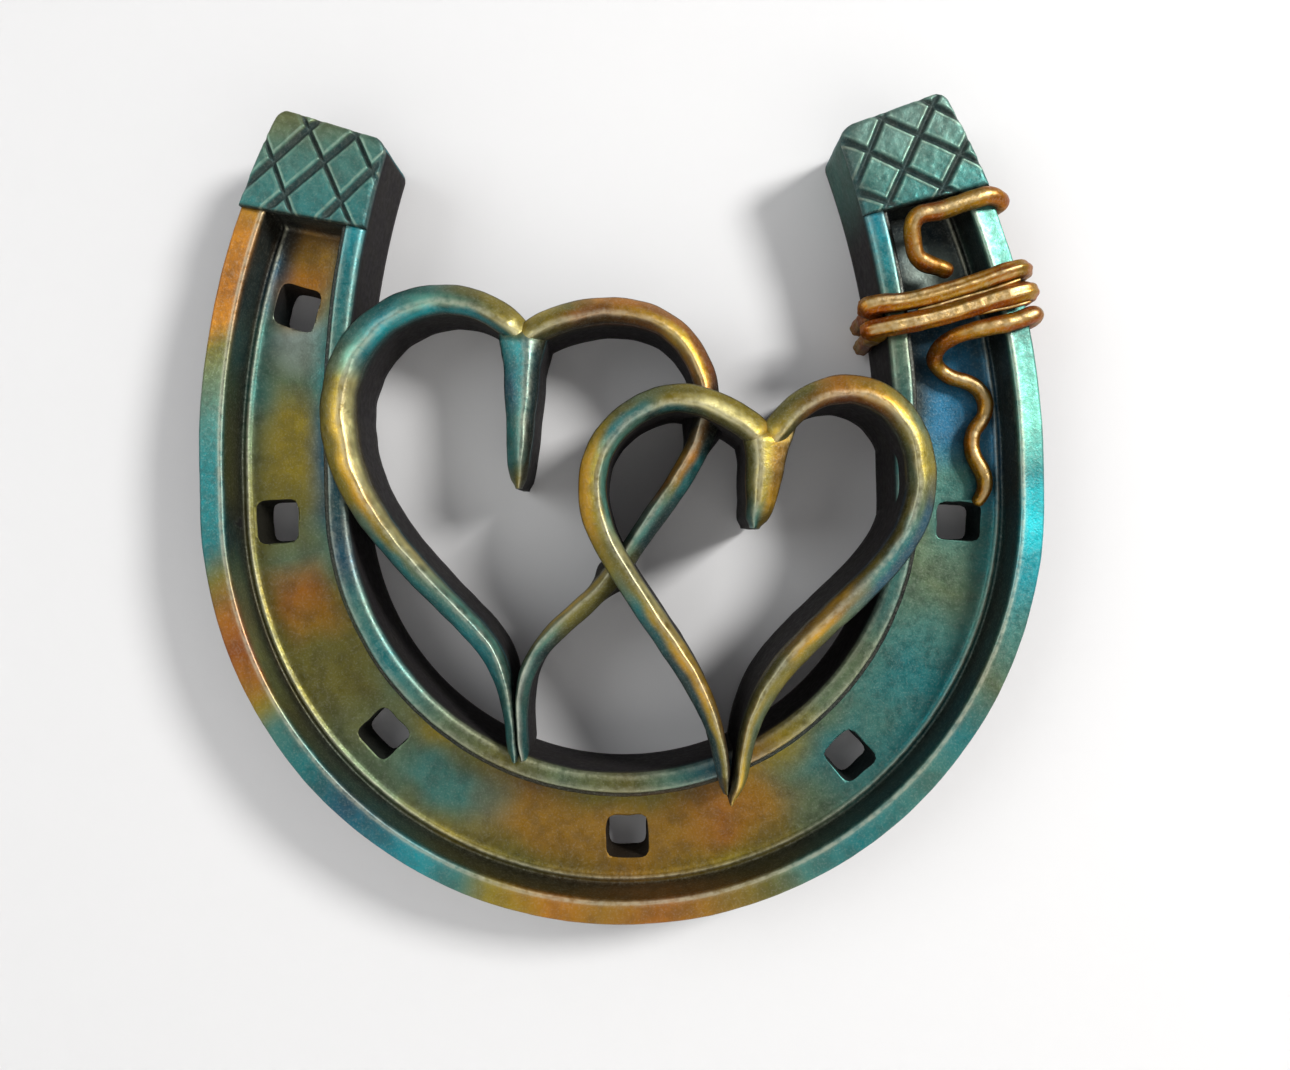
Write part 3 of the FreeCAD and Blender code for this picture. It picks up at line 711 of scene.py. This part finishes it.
def make_pad(side, name, slot):
    rows, columns = 130, 150
    grid, edge, to_inside = pad_places(side, rows, columns)
    places = grid.reshape(-1, 2)
    depth, burr_and_highlight = groove_depth(places, side)
    depth *= 0.35 + 0.65 * ramp(edge.ravel(), 0.1, 0.9)
    rounding = 0.9
    short = np.clip(rounding - edge.ravel(), 0, rounding)
    crown = rounding - np.sqrt(np.maximum(rounding**2 - short**2, 0))
    roll = {LEFT: 1.3, RIGHT: 2.6}[side]
    rolled = np.clip(roll - to_inside.ravel(), 0, roll)
    crown = np.maximum(crown, 0.62 * (roll - np.sqrt(np.maximum(roll**2 - rolled**2, 0))))
    deep = np.stack([places[:, 0], np.zeros(len(places)), places[:, 1]], axis=1)
    uneven = 0.10 * noise_at(deep, 3.0, 21) + 0.05 * noise_at(deep, 0.9, 22) - 0.10
    height = PAD_TOP + uneven - depth - 0.75 * crown + 0.05 * burr_and_highlight
    top = np.stack([places[:, 0], -np.minimum(height, THICKNESS + 0.7), places[:, 1]], axis=1)
    bottom = np.stack([places[:, 0], np.full(len(places), -PAD_SEAT + 0.1), places[:, 1]], axis=1)
    index = np.arange(rows * columns).reshape(rows, columns)
    quads = np.stack([index[:-1, :-1], index[:-1, 1:], index[1:, 1:], index[1:, :-1]], -1).reshape(-1, 4)
    rim = np.concatenate([index[0, :-1], index[:-1, -1], index[-1, :0:-1], index[:0:-1, 0]])
    below = len(places) + np.arange(len(rim))
    skirt = np.stack([rim, np.roll(rim, -1), np.roll(below, -1), below], axis=1)
    mesh = bpy.data.meshes.new(name)
    points = np.concatenate([top, bottom[rim]])
    mesh.from_pydata((points * MM).tolist(), [], quads.tolist() + skirt.tolist() + [below.tolist()])
    thing = finished_mesh(name, mesh)

    up_share = np.repeat(np.linspace(0, 1, rows), columns)
    across_share = np.tile(np.linspace(0, 1, columns), rows)
    colour = mix(np.tile(PAINT["grey_teal"], (len(places), 1)), PAINT["teal"],
                 0.75 * ramp(0.55 - up_share + 0.3 * across_share * (side == LEFT), 0.0, 0.8))
    if side == LEFT:
        colour = mix(colour, PAINT["olive"], 0.75 * ramp(up_share - 0.45 * across_share, 0.35, 0.95))
    else:
        colour = mix(colour, PAINT["silver"], 0.30 * ramp(up_share, 0.2, 0.9))
    # painted highlight: pale teal and brightening along the grooves' raised edges, stronger on one side
    colour = mix(colour, PAINT["pale_teal"], 0.35 * burr_and_highlight)
    # painted shade: the grooves are darkened with their depth
    colour = mix(colour, PAINT["deep_teal"] * 0.55, 0.95 * ramp(depth, 0.02, 0.3))
    # painted shadow: a black line along the pad's lower edge
    colour = mix(colour, PAINT["black"], 0.8 * ramp(-up_share, -0.03, 0.0))
    colour = mix(colour, PAINT["deep_teal"], 0.75 * ramp(-to_inside.ravel(), -0.8 * roll, 0.0))
    colour = np.concatenate([colour, np.tile(PAINT["wall"], (len(rim), 1))])
    wear_and_highlight = np.concatenate([0.1 + 0.35 * burr_and_highlight, np.zeros(len(rim))])
    paint(thing, colour, wear_and_highlight, np.concatenate([0.3 * ramp(depth, 0.1, 0.4), np.ones(len(rim))]))
    return place_piece(thing, PAD_PAINT, "pad_patina", slot)


make_pad(LEFT, "heel_pad_left_cast", "heel_pad_left")
make_pad(RIGHT, "heel_pad_right_cast", "heel_pad_right")


# ---------------------------------------------------------------- hearts

# Each bar runs from its heart's notch to the tip. A row is (x, z, width).
LEFT_HEART_LEFT_BAR = [
    (-13.0, 23.6, 3.6), (-14.8, 25.3, 3.9), (-19.4, 28.3, 4.0), (-25.4, 29.3, 4.2), (-31.8, 27.5, 4.6),
    (-37.2, 22.6, 4.9), (-39.7, 15.4, 5.0), (-38.3, 4.8, 4.6), (-32.4, -5.2, 3.8), (-23.5, -15.2, 3.4),
    (-18.6, -21.6, 3.0), (-17.0, -27.0, 2.2), (-16.2, -36.2, 1.7),
]
LEFT_HEART_RIGHT_BAR = [
    (-14.4, 22.8, 3.2), (-12.2, 24.3, 3.6), (-7.0, 26.4, 3.8), (-0.2, 27.1, 3.7), (7.1, 24.7, 3.5),
    (11.4, 19.2, 3.4), (12.5, 13.6, 3.4), (9.6, 5.2, 3.5), (3.1, -4.0, 3.3), (-3.7, -12.6, 3.0),
    (-10.3, -18.4, 2.9), (-13.9, -23.4, 2.3), (-15.0, -28.8, 1.8), (-14.8, -36.0, 1.5),
]
RIGHT_HEART_LEFT_BAR = [
    (20.6, 6.8, 3.6), (18.9, 8.9, 4.0), (14.6, 12.0, 4.0), (8.4, 14.0, 3.8), (1.8, 12.0, 3.8), (-2.8, 7.0, 3.8),
    (-3.8, -0.6, 3.9), (-0.1, -9.6, 3.6), (5.1, -18.0, 3.5), (9.4, -25.2, 3.2), (11.9, -31.4, 2.5),
    (12.9, -36.6, 2.0), (13.5, -41.2, 1.2),
]
RIGHT_HEART_RIGHT_BAR = [
    (19.6, 7.0, 3.4), (21.3, 9.1, 3.8), (25.2, 12.8, 3.8), (31.4, 14.6, 3.8), (37.4, 12.2, 3.9), (41.0, 5.0, 4.0),
    (39.9, -3.8, 3.9), (33.5, -12.1, 3.7), (25.0, -19.8, 3.5), (18.9, -27.0, 3.0), (16.3, -33.2, 2.3),
    (15.3, -38.0, 1.9), (14.2, -42.6, 0.9),
]
LEFT_HEART_SPIKE = [
    (-13.0, 25.6, 9.0), (-13.2, 24.8, 8.2), (-13.4, 24.0, 7.4), (-13.5, 23.0, 6.7), (-13.6, 21.8, 6.0),
    (-13.7, 20.2, 5.4), (-13.8, 17.6, 4.9), (-14.0, 14.2, 4.4), (-14.2, 10.6, 3.9), (-14.5, 7.0, 3.3),
    (-14.7, 4.2, 2.6), (-14.8, 2.4, 1.6),
]
RIGHT_HEART_SPIKE = [
    (20.3, 10.6, 9.4), (20.3, 9.7, 8.4), (20.3, 8.8, 7.5), (20.2, 7.8, 6.7), (20.1, 6.6, 6.0), (19.9, 4.6, 5.4),
    (19.5, 2.0, 4.8), (19.1, -0.6, 4.0), (18.6, -2.6, 3.2), (18.3, -4.2, 2.2),
]

# Paints along a bar: millimetres from the notch, then the inside slope, the ridge and the outside slope.
LEFT_HEART_LEFT_PAINT = [
    (0, "teal", "cream", "olive_gold"), (4, "teal", "olive_gold", "olive_gold"), (9, "cyan", "grey_green", "olive"),
    (15, "bright_cyan", "pale_teal", "grey_teal"), (22, "bright_cyan", "cyan", "teal"),
    (28, "cyan", "pale_teal", "grey_teal"), (33, "cream", "olive_gold", "olive"), (40, "cream", "bright_gold", "olive_gold"),
    (50, "cream", "gold", "olive_gold"), (56, "cream", "olive_gold", "teal"), (62, "cream", "grey_green", "teal"),
    (70, "pale_teal", "grey_teal", "teal"), (78, "pale_teal", "teal", "cyan"), (84, "deep_teal", "grey_teal", "teal"),
    (94, "deep_teal", "teal", "teal"),
]
LEFT_HEART_RIGHT_PAINT = [
    (0, "teal", "cream", "olive_gold"), (5, "olive", "olive_gold", "olive_gold"), (9, "brown", "copper", "olive"),
    (14, "brown", "copper", "orange"), (20, "copper", "gold", "copper"), (25, "gold", "bright_gold", "copper"),
    # painted shadow: brown and black around 35 to 40 mm, where the bar passes under the right heart
    (30, "orange", "gold", "deep_copper"), (35, "brown", "copper", "black"), (40, "black", "brown", "black"),
    (44, "gold", "orange", "teal"), (49, "orange", "olive", "teal"), (53, "silver", "grey_teal", "deep_teal"),
    (58, "grey_teal", "grey_teal", "deep_teal"), (63, "olive_gold", "olive", "olive"), (72, "bright_gold", "olive", "olive"),
    (78, "olive", "grey_teal", "deep_teal"), (84, "grey_teal", "silver", "grey_teal"),
    (94, "grey_teal", "silver", "teal"),
]
RIGHT_HEART_LEFT_PAINT = [
    (0, "olive_dark", "bright_gold", "gold"), (4, "olive", "olive_gold", "olive_gold"), (9, "olive", "cream", "olive_gold"),
    (15, "teal", "olive_gold", "olive"), (20, "deep_teal", "grey_teal", "grey_green"), (25, "pale_teal", "teal", "olive_gold"),
    (31, "pale_teal", "olive_gold", "gold"), (38, "pale_teal", "olive_gold", "gold"), (44, "cream", "olive", "olive_gold"),
    (52, "cream", "olive_gold", "teal"), (60, "bright_gold", "gold", "deep_teal"), (66, "gold", "gold", "deep_teal"),
    (72, "brown", "olive_gold", "deep_teal"), (82, "black", "olive", "blue_teal"),
]
RIGHT_HEART_RIGHT_PAINT = [
    (0, "olive", "bright_gold", "olive_gold"), (5, "olive", "olive_gold", "olive"), (9, "copper", "brown_gold", "olive"),
    (14, "deep_copper", "orange", "orange"), (19, "copper", "gold", "olive_gold"), (25, "olive", "olive_gold", "grey_green"),
    (31, "grey_green", "olive_gold", "olive_gold"), (36, "olive", "grey_green", "blue_teal"), (42, "olive", "teal", "blue_teal"),
    (48, "olive_gold", "grey_teal", "blue_teal"), (54, "gold", "brown_gold", "grey_green"), (60, "brown_gold", "gold", "olive"),
    (66, "olive", "olive", "olive_gold"), (74, "olive", "olive_gold", "grey_green"), (84, "olive_dark", "bright_gold", "olive_gold"),
]
LEFT_SPIKE_PAINT = [
    (0, "olive_gold", "gold", "olive_gold"), (1.8, "olive", "grey_green", "teal"), (3.5, "deep_teal", "teal", "teal"),
    (9, "deep_teal", "teal", "blue_teal"), (14, "deep_teal", "grey_teal", "teal"), (19, "olive_dark", "grey_teal", "teal"),
    (23, "olive_dark", "olive_gold", "olive"),
]
RIGHT_SPIKE_PAINT = [
    (0, "olive", "gold", "olive_gold"), (3, "olive", "olive_gold", "brown_gold"), (7, "olive", "olive_gold", "brown_gold"),
    (11, "olive", "olive_gold", "gold"), (14, "teal", "grey_teal", "olive"),
]


def heart_bar(name, stations, inside, crest, shoulder, start_drop, end_drop, webs):
    """A tall bar with a ridge near the inside of its heart and dark walls down to the back.

    inside is +1 where the heart's inside is on the left of the way from the notch to the tip. A drop is
    (depth, length) at that end. Each web is (run, extra width as a share, length) under the bar's shoulders.
    """
    path, run = smooth_path(stations, 2, 0.4)
    places, width = path[:, :2], path[:, 2]
    along = tangents(places)
    to_inside = inside * np.stack([-along[:, 1], along[:, 0]], axis=1)
    ridge = 0.38
    slope = np.linspace(-1, 1, 29)
    reach = np.where(slope > ridge, 1 - ridge, 1 + ridge)
    off_ridge = np.abs(slope - ridge) / reach
    bend = 0.34
    fall = (np.hypot(off_ridge, bend) - bend) / (math.hypot(1, bend) - bend)
    fall = 0.78 * fall + 0.22 * off_ridge**4
    wall = np.array([0.97, 0.9, 0.78, 0.62, 0.46, 0.3, 0.15, 0.05])
    rings = []
    for k in range(len(run)):
        from_tip = run[-1] - run[k]
        lower = start_drop[0] * float(ramp(np.array(-run[k]), -start_drop[1], 0.0))
        lower += end_drop[0] * float(ramp(np.array(-from_tip), -end_drop[1], 0.0))
        web = sum(extra * math.exp(-(((run[k] - at) / length) ** 2)) for at, extra, length in webs)
        wobble = 0.16 * noise.noise(Vector((run[k] / 4.0, inside * 3.1, crest)))
        top = crest - lower + 0.14 * noise.noise(Vector((run[k] / 5.0, 7.7, crest)))
        edge = shoulder - lower
        heights = top - (top - edge) * fall
        half = width[k] / 2 * (1 + 0.06 * noise.noise(Vector((run[k] / 3.0, 2.2, crest)))) - 0.02
        half *= 0.62 + 0.38 * float(ramp(np.array(from_tip), 0.0, 1.4))
        side = slope + wobble * (1 - slope**2)
        across = np.concatenate([side, np.ones(len(wall)), -np.ones(len(wall))])
        deep = np.concatenate([np.zeros(len(slope)), 1 - wall, 1 - wall[::-1]])
        lean_in = 1 - 0.05 * deep + web * ramp(deep, 0.0, 0.3)
        height = np.concatenate([heights, wall * edge, wall[::-1] * edge])
        spot = places[k] + to_inside[k] * (across * lean_in * half)[:, None]
        rings.append(np.stack([spot[:, 0], -height, spot[:, 1]], axis=1))
    thing = lofted(name, np.array(rings))
    return thing, run, np.tile(np.concatenate([slope, np.full(2 * len(wall), 9.0)]), len(run))


def paint_bar(thing, run, slope, paints, crest, shoulder):
    points, _ = coordinates(thing)
    height = -points[:, 1]
    rows = np.repeat(run, len(slope) // len(run)) + 2.0 * noise_at(points, 4.0, 31)
    inner = blend_along([(p[0], p[1]) for p in paints], rows)
    ridge = blend_along([(p[0], p[2]) for p in paints], rows)
    outer = blend_along([(p[0], p[3]) for p in paints], rows)
    wander = slope + 0.22 * noise_at(points, 2.6, 33)
    colour = mix(outer, ridge, ramp(wander, -0.55, 0.05))
    colour = mix(colour, inner, ramp(wander, 0.45, 0.8))
    on_wall = slope > 8
    wall = np.tile(PAINT["wall"] * 0.75, (len(points), 1))
    bleed = mix(wall, outer, 0.45 * ramp(height, shoulder - 1.6, shoulder))
    colour = np.where(on_wall[:, None], bleed, colour)
    # painted shade: a dark line along both shoulders, where the top rolls down to the walls
    colour = mix(colour, PAINT["black"], 0.8 * ramp(np.abs(slope), 0.86, 1.0) * ~on_wall)
    # painted highlight along the ridge, together with rubbed wear
    wear_and_highlight = ramp(-np.abs(slope - 0.42), -0.42, -0.02) * ~on_wall
    paint(thing, colour, (0.12 + 0.6 * wear_and_highlight) * ~on_wall, on_wall * ramp(-height, -shoulder + 0.1, -shoulder + 1.4))


def make_bar(node, stations, paints, inside, crest, shoulder, slot, start_drop, end_drop, webs=()):
    thing, run, slope = heart_bar(node + "_cast", stations, inside, crest, shoulder, start_drop, end_drop, webs)
    roughen(thing, [(3.5, 0.06), (1.0, 0.018)], 41)
    points, _ = coordinates(thing)
    points[:, 1] = np.maximum(points[:, 1], -crest - 0.0)
    move_to(thing, points)
    paint_bar(thing, run, slope, paints, crest, shoulder)
    place_piece(thing, HEART_PAINT, slot, node)


LEFT_CREST, LEFT_SHOULDER = 14.0, 12.1
RIGHT_CREST, RIGHT_SHOULDER = 18.0, 16.3

make_bar("left_heart_left_bar", LEFT_HEART_LEFT_BAR, LEFT_HEART_LEFT_PAINT, 1, LEFT_CREST, LEFT_SHOULDER,
         "left_heart_patina", (1.4, 3.0), (1.0, 3.2))
make_bar("left_heart_right_bar", LEFT_HEART_RIGHT_BAR, LEFT_HEART_RIGHT_PAINT, -1, LEFT_CREST, LEFT_SHOULDER,
         "left_heart_patina", (1.4, 3.0), (1.0, 3.2), [(37.5, 0.9, 3.0), (64.0, 0.7, 2.2)])
make_bar("left_heart_spike", LEFT_HEART_SPIKE, LEFT_SPIKE_PAINT, 1, 13.75, 11.9, "left_heart_patina",
         (1.6, 3.0), (2.2, 4.0))
make_bar("right_heart_left_bar", RIGHT_HEART_LEFT_BAR, RIGHT_HEART_LEFT_PAINT, 1, RIGHT_CREST, RIGHT_SHOULDER,
         "right_heart_patina", (1.4, 3.0), (4.0, 4.0))
make_bar("right_heart_right_bar", RIGHT_HEART_RIGHT_BAR, RIGHT_HEART_RIGHT_PAINT, -1, RIGHT_CREST,
         RIGHT_SHOULDER, "right_heart_patina", (1.4, 3.0), (3.5, 4.0))
make_bar("right_heart_spike", RIGHT_HEART_SPIKE, RIGHT_SPIKE_PAINT, -1, 17.75, 16.0, "right_heart_patina",
         (1.6, 3.0), (1.6, 3.0))


# ---------------------------------------------------------------- wires

# Each strand's middle line, as rows of (x, height, z, radius).


def beside_outside(z):
    """x of a strand's middle where it lies against the outside of the right arm."""
    return float(outer_x(np.array(z))) + 0.92


def beside_inside(z):
    """x of a strand's middle where it lies against the inside of the right arm."""
    share = (z - INNER_RISE) / (HEEL_INNER_TOP - INNER_RISE)
    return float(inner_x(np.array(share * HEEL_TOP))) - 1.15


def down_inside(z, radius):
    """From the back up the inside wall to the front edge."""
    x = beside_inside(z)
    return [(x, 0.9, z - 0.2, radius), (x, 5.0, z, radius), (x, 9.0, z, radius), (x + 0.05, 11.6, z + 0.05, radius)]


def down_outside(z, radius):
    """From the front edge down the outside wall to the back."""
    x = beside_outside(z)
    return [(x, 11.2, z, radius), (x, 8.0, z - 0.05, radius), (x, 4.5, z - 0.1, radius), (x, 0.9, z - 0.1, radius)]


HOOK = [
    (48.1, 9.0, 31.9, 1.15), (46.0, 10.0, 32.5, 1.22), (43.9, 10.8, 33.0, 1.25), (42.5, 11.5, 34.0, 1.22),
    (41.9, 12.2, 35.9, 1.22), (41.7, 12.8, 37.6, 1.22), (42.3, 13.1, 38.8, 1.28), (44.5, 13.1, 39.4, 1.3),
    (47.9, 13.1, 40.3, 1.32), (51.2, 13.0, 41.3, 1.34), (52.6, 12.7, 41.6, 1.3),
] + down_outside(41.3, 1.2)
TURN_TOP = down_inside(25.9, 1.2) + [
    (34.9, 12.8, 26.3, 1.3), (36.6, 13.1, 26.7, 1.34), (38.9, 13.15, 26.85, 1.34), (43.1, 13.1, 27.5, 1.3),
    (47.6, 13.1, 28.6, 1.3), (52.1, 13.15, 29.9, 1.34), (54.9, 13.1, 30.8, 1.38), (56.5, 12.6, 31.2, 1.36),
] + down_outside(31.4, 1.3)
TURN_MIDDLE = down_inside(23.0, 1.25) + [
    (35.2, 12.8, 23.1, 1.34), (36.8, 13.15, 23.4, 1.38), (38.9, 13.2, 23.7, 1.4), (43.0, 13.15, 24.4, 1.36),
    (47.5, 13.15, 25.4, 1.34), (52.0, 13.2, 26.7, 1.4), (55.8, 13.15, 27.7, 1.44), (57.6, 12.6, 28.1, 1.4),
] + down_outside(28.2, 1.3)
TAIL = down_outside(24.8, 1.2)[::-1] + [
    (58.4, 12.6, 24.8, 1.26), (56.4, 13.05, 24.1, 1.3), (53.4, 13.1, 23.4, 1.26), (50.6, 12.95, 22.9, 1.2),
    (48.4, 12.3, 22.4, 1.14), (46.8, 11.2, 21.8, 1.12), (45.8, 9.6, 20.8, 1.12), (45.7, 8.2, 19.5, 1.1),
    (47.0, 7.3, 18.0, 1.1), (48.8, 7.15, 17.0, 1.12), (50.9, 7.1, 16.3, 1.14), (52.6, 7.1, 14.9, 1.14),
    (53.3, 7.1, 13.0, 1.12), (52.8, 7.1, 11.0, 1.1), (51.6, 7.1, 9.3, 1.12), (51.1, 7.1, 7.2, 1.16),
    (51.6, 7.1, 5.1, 1.2), (52.6, 7.1, 3.2, 1.2), (52.9, 7.1, 1.3, 1.14), (52.3, 7.0, -0.4, 1.0),
    (51.5, 6.7, -1.6, 0.8),
]
THIN_UPPER = [
    (42.0, 13.2, 25.7, 0.24), (44.5, 13.35, 26.25, 0.3), (48.4, 13.35, 27.3, 0.3), (52.4, 13.4, 28.3, 0.3),
    (55.8, 13.4, 29.4, 0.28), (56.6, 13.2, 29.7, 0.22),
]
THIN_LOWER = [
    (50.4, 13.2, 24.95, 0.22), (52.4, 13.4, 25.35, 0.28), (54.9, 13.4, 25.75, 0.28), (57.2, 13.3, 26.35, 0.26),
    (58.0, 13.0, 26.6, 0.22),
]


def strand(node, stations, ridges, seed, sides=26):
    """A lumpy drawn-down strand with blunt ends, and fine ridges where it was pulled."""
    rows = [(x, -height, z, radius) for x, height, z, radius in stations]
    path, run = smooth_path(rows, 3, 0.2)
    middle, radius = path[:, :3], path[:, 3]
    along = tangents(middle)
    side = np.cross(along[0], (0.0, 1.0, 0.0))
    if np.linalg.norm(side) < 0.3:
        side = np.cross(along[0], (0.0, 0.0, 1.0))
    angles = np.linspace(0, 2 * math.pi, sides, endpoint=False)
    rings = []
    for k in range(len(run)):
        side = side - along[k] * np.dot(side, along[k])
        side = side / np.linalg.norm(side)
        other = np.cross(along[k], side)
        from_end = min(run[k], run[-1] - run[k])
        blunt = math.sqrt(max(0.0, 1 - (1 - min(1.0, from_end / (0.7 * radius[k]))) ** 2))
        lump = 1 + 0.07 * noise.noise(Vector((run[k] / 1.9, seed, 0.5)))
        reach = radius[k] * max(blunt, 0.12) * lump
        reach = reach * (1 + 0.05 * np.cos(ridges * angles + 0.12 * run[k]) * (ridges > 0))
        ring = middle[k] + np.outer(np.cos(angles) * reach, side) + np.outer(np.sin(angles) * reach, other)
        rings.append(ring)
    thing = lofted(node + "_cast", np.array(rings))
    roughen(thing, [(1.2, 0.05), (0.5, 0.025)], seed)
    points, normals = coordinates(thing)
    facing = -normals[:, 1]
    patch = noise_at(points, 3.0, seed + 2)
    colour = mix(np.tile(PAINT["copper"], (len(points), 1)), PAINT["brown_gold"], ramp(patch, -0.1, 0.35))
    colour = mix(colour, PAINT["deep_copper"], ramp(-patch, 0.05, 0.4))
    # painted highlight: the strand's front-facing top turns gold and is marked bright
    colour = mix(colour, PAINT["gold"], 0.75 * ramp(facing, 0.82, 0.99))
    out, into = from_edges(points)
    # painted shade: the sides turned away from the front go dark olive, less outside the shoe's outline beside its
    # walls; the same shade also makes them bare and dull
    shade = ramp(-facing, -0.45, 0.05) * (1 - 0.7 * ramp(-np.minimum(out, into), -0.2, 0.3))
    colour = mix(colour, PAINT["olive_dark"] * 0.5, 0.92 * shade)
    paint(thing, colour, ramp(facing, 0.86, 0.99) * 0.6, 0.8 * shade)
    place_piece(thing, COPPER_PAINT, "copper_wire", node)


strand("wire_hook", HOOK, 0, 51)
strand("wire_turn_top", TURN_TOP, 7, 54, 42)
strand("wire_turn_middle", TURN_MIDDLE, 7, 57, 42)
strand("wire_tail", TAIL, 0, 60)
strand("thin_strand_upper", THIN_UPPER, 0, 63, 14)
strand("thin_strand_lower", THIN_LOWER, 0, 66, 14)


# ---------------------------------------------------------------- wall, floor, light and camera


def make_stage():
    """A pale wall just behind the shoe that curves into a floor, seen through from behind."""
    wall_y, floor_z, bend, half_wide = 0.0004, -0.30, 0.10, 3.0
    outline = [(wall_y, 0.9), (wall_y, 0.3), (wall_y, floor_z + bend)]
    for k in range(1, 13):
        angle = math.radians(90 * k / 12)
        outline.append((wall_y - bend * (1 - math.cos(angle)), floor_z + bend * (1 - math.sin(angle))))
    outline.append((-4.0, floor_z))
    verts = [(x, y, z) for y, z in outline for x in (-half_wide, half_wide)]
    faces = [(2 * k, 2 * k + 2, 2 * k + 3, 2 * k + 1) for k in range(len(outline) - 1)]
    mesh = bpy.data.meshes.new("studio")
    mesh.from_pydata(verts, [], faces)
    mesh.shade_smooth()
    thing = bpy.data.objects.new("studio", mesh)
    bpy.context.scene.collection.objects.link(thing)
    material = bpy.data.materials.new("pale_board")
    material.use_nodes = True
    nodes, links = material.node_tree.nodes, material.node_tree.links
    board = nodes["Principled BSDF"]
    board.inputs["Base Color"].default_value = (0.80, 0.79, 0.78, 1)
    board.inputs["Roughness"].default_value = 0.9
    board.inputs["Specular IOR Level"].default_value = 0.1
    clear = nodes.new("ShaderNodeBsdfTransparent")
    side = nodes.new("ShaderNodeNewGeometry")
    choose = nodes.new("ShaderNodeMixShader")
    links.new(side.outputs["Backfacing"], choose.inputs["Fac"])
    links.new(board.outputs["BSDF"], choose.inputs[1])
    links.new(clear.outputs["BSDF"], choose.inputs[2])
    links.new(choose.outputs["Shader"], nodes["Material Output"].inputs["Surface"])
    mesh.materials.append(material)
    return thing


def aim(thing, at):
    """Turn a lamp or camera at (x, y, z) to look at a point."""
    thing.rotation_euler = (Vector(at) - thing.location).to_track_quat("-Z", "Y").to_euler()


def area_light(name, place, at, size, power, colour=(1, 1, 1)):
    lamp = bpy.data.lights.new(name, "AREA")
    lamp.shape = "DISK"
    lamp.size = size
    lamp.energy = power
    lamp.color = colour
    thing = bpy.data.objects.new(name, lamp)
    thing.location = place
    bpy.context.scene.collection.objects.link(thing)
    aim(thing, at)
    return thing


def shine_through(lamp, board):
    """Let a lamp shine through the board as if it weren't there, and leave no glint on the side walls."""
    lamp.visible_glossy = False
    clear = bpy.data.collections.new("seen_through")
    clear.objects.link(board)
    clear.collection_objects[0].light_linking.link_state = "EXCLUDE"
    lamp.light_linking.blocker_collection = clear


def make_lights(board):
    middle = (0, -0.01, 0)
    area_light("key", (0.55, -0.50, 0.28), middle, 0.20, 5.6)
    area_light("fill", (-0.60, -0.55, 0.20), middle, 0.60, 2.2, (0.95, 0.98, 1.0))
    shine_through(area_light("behind", (0.0, 1.5, 0.1), middle, 0.2, 16.0), board)
    world = bpy.data.worlds.new("pale_room")
    world.use_nodes = True
    world.node_tree.nodes["Background"].inputs["Color"].default_value = (0.95, 0.96, 1.0, 1)
    world.node_tree.nodes["Background"].inputs["Strength"].default_value = 0.30
    bpy.context.scene.world = world
    bpy.context.scene.view_settings.view_transform = "Standard"


def make_camera():
    camera = bpy.data.cameras.new("camera")
    camera.lens = 27.3
    camera.sensor_width = 36
    camera.clip_start = 0.005
    thing = bpy.data.objects.new("camera", camera)
    thing.location = (0.0031, -0.150, -0.0047)
    thing.rotation_euler = (math.pi / 2, math.atan(0.0262), 0)
    bpy.context.scene.collection.objects.link(thing)
    bpy.context.scene.camera = thing


make_lights(make_stage())
make_camera()
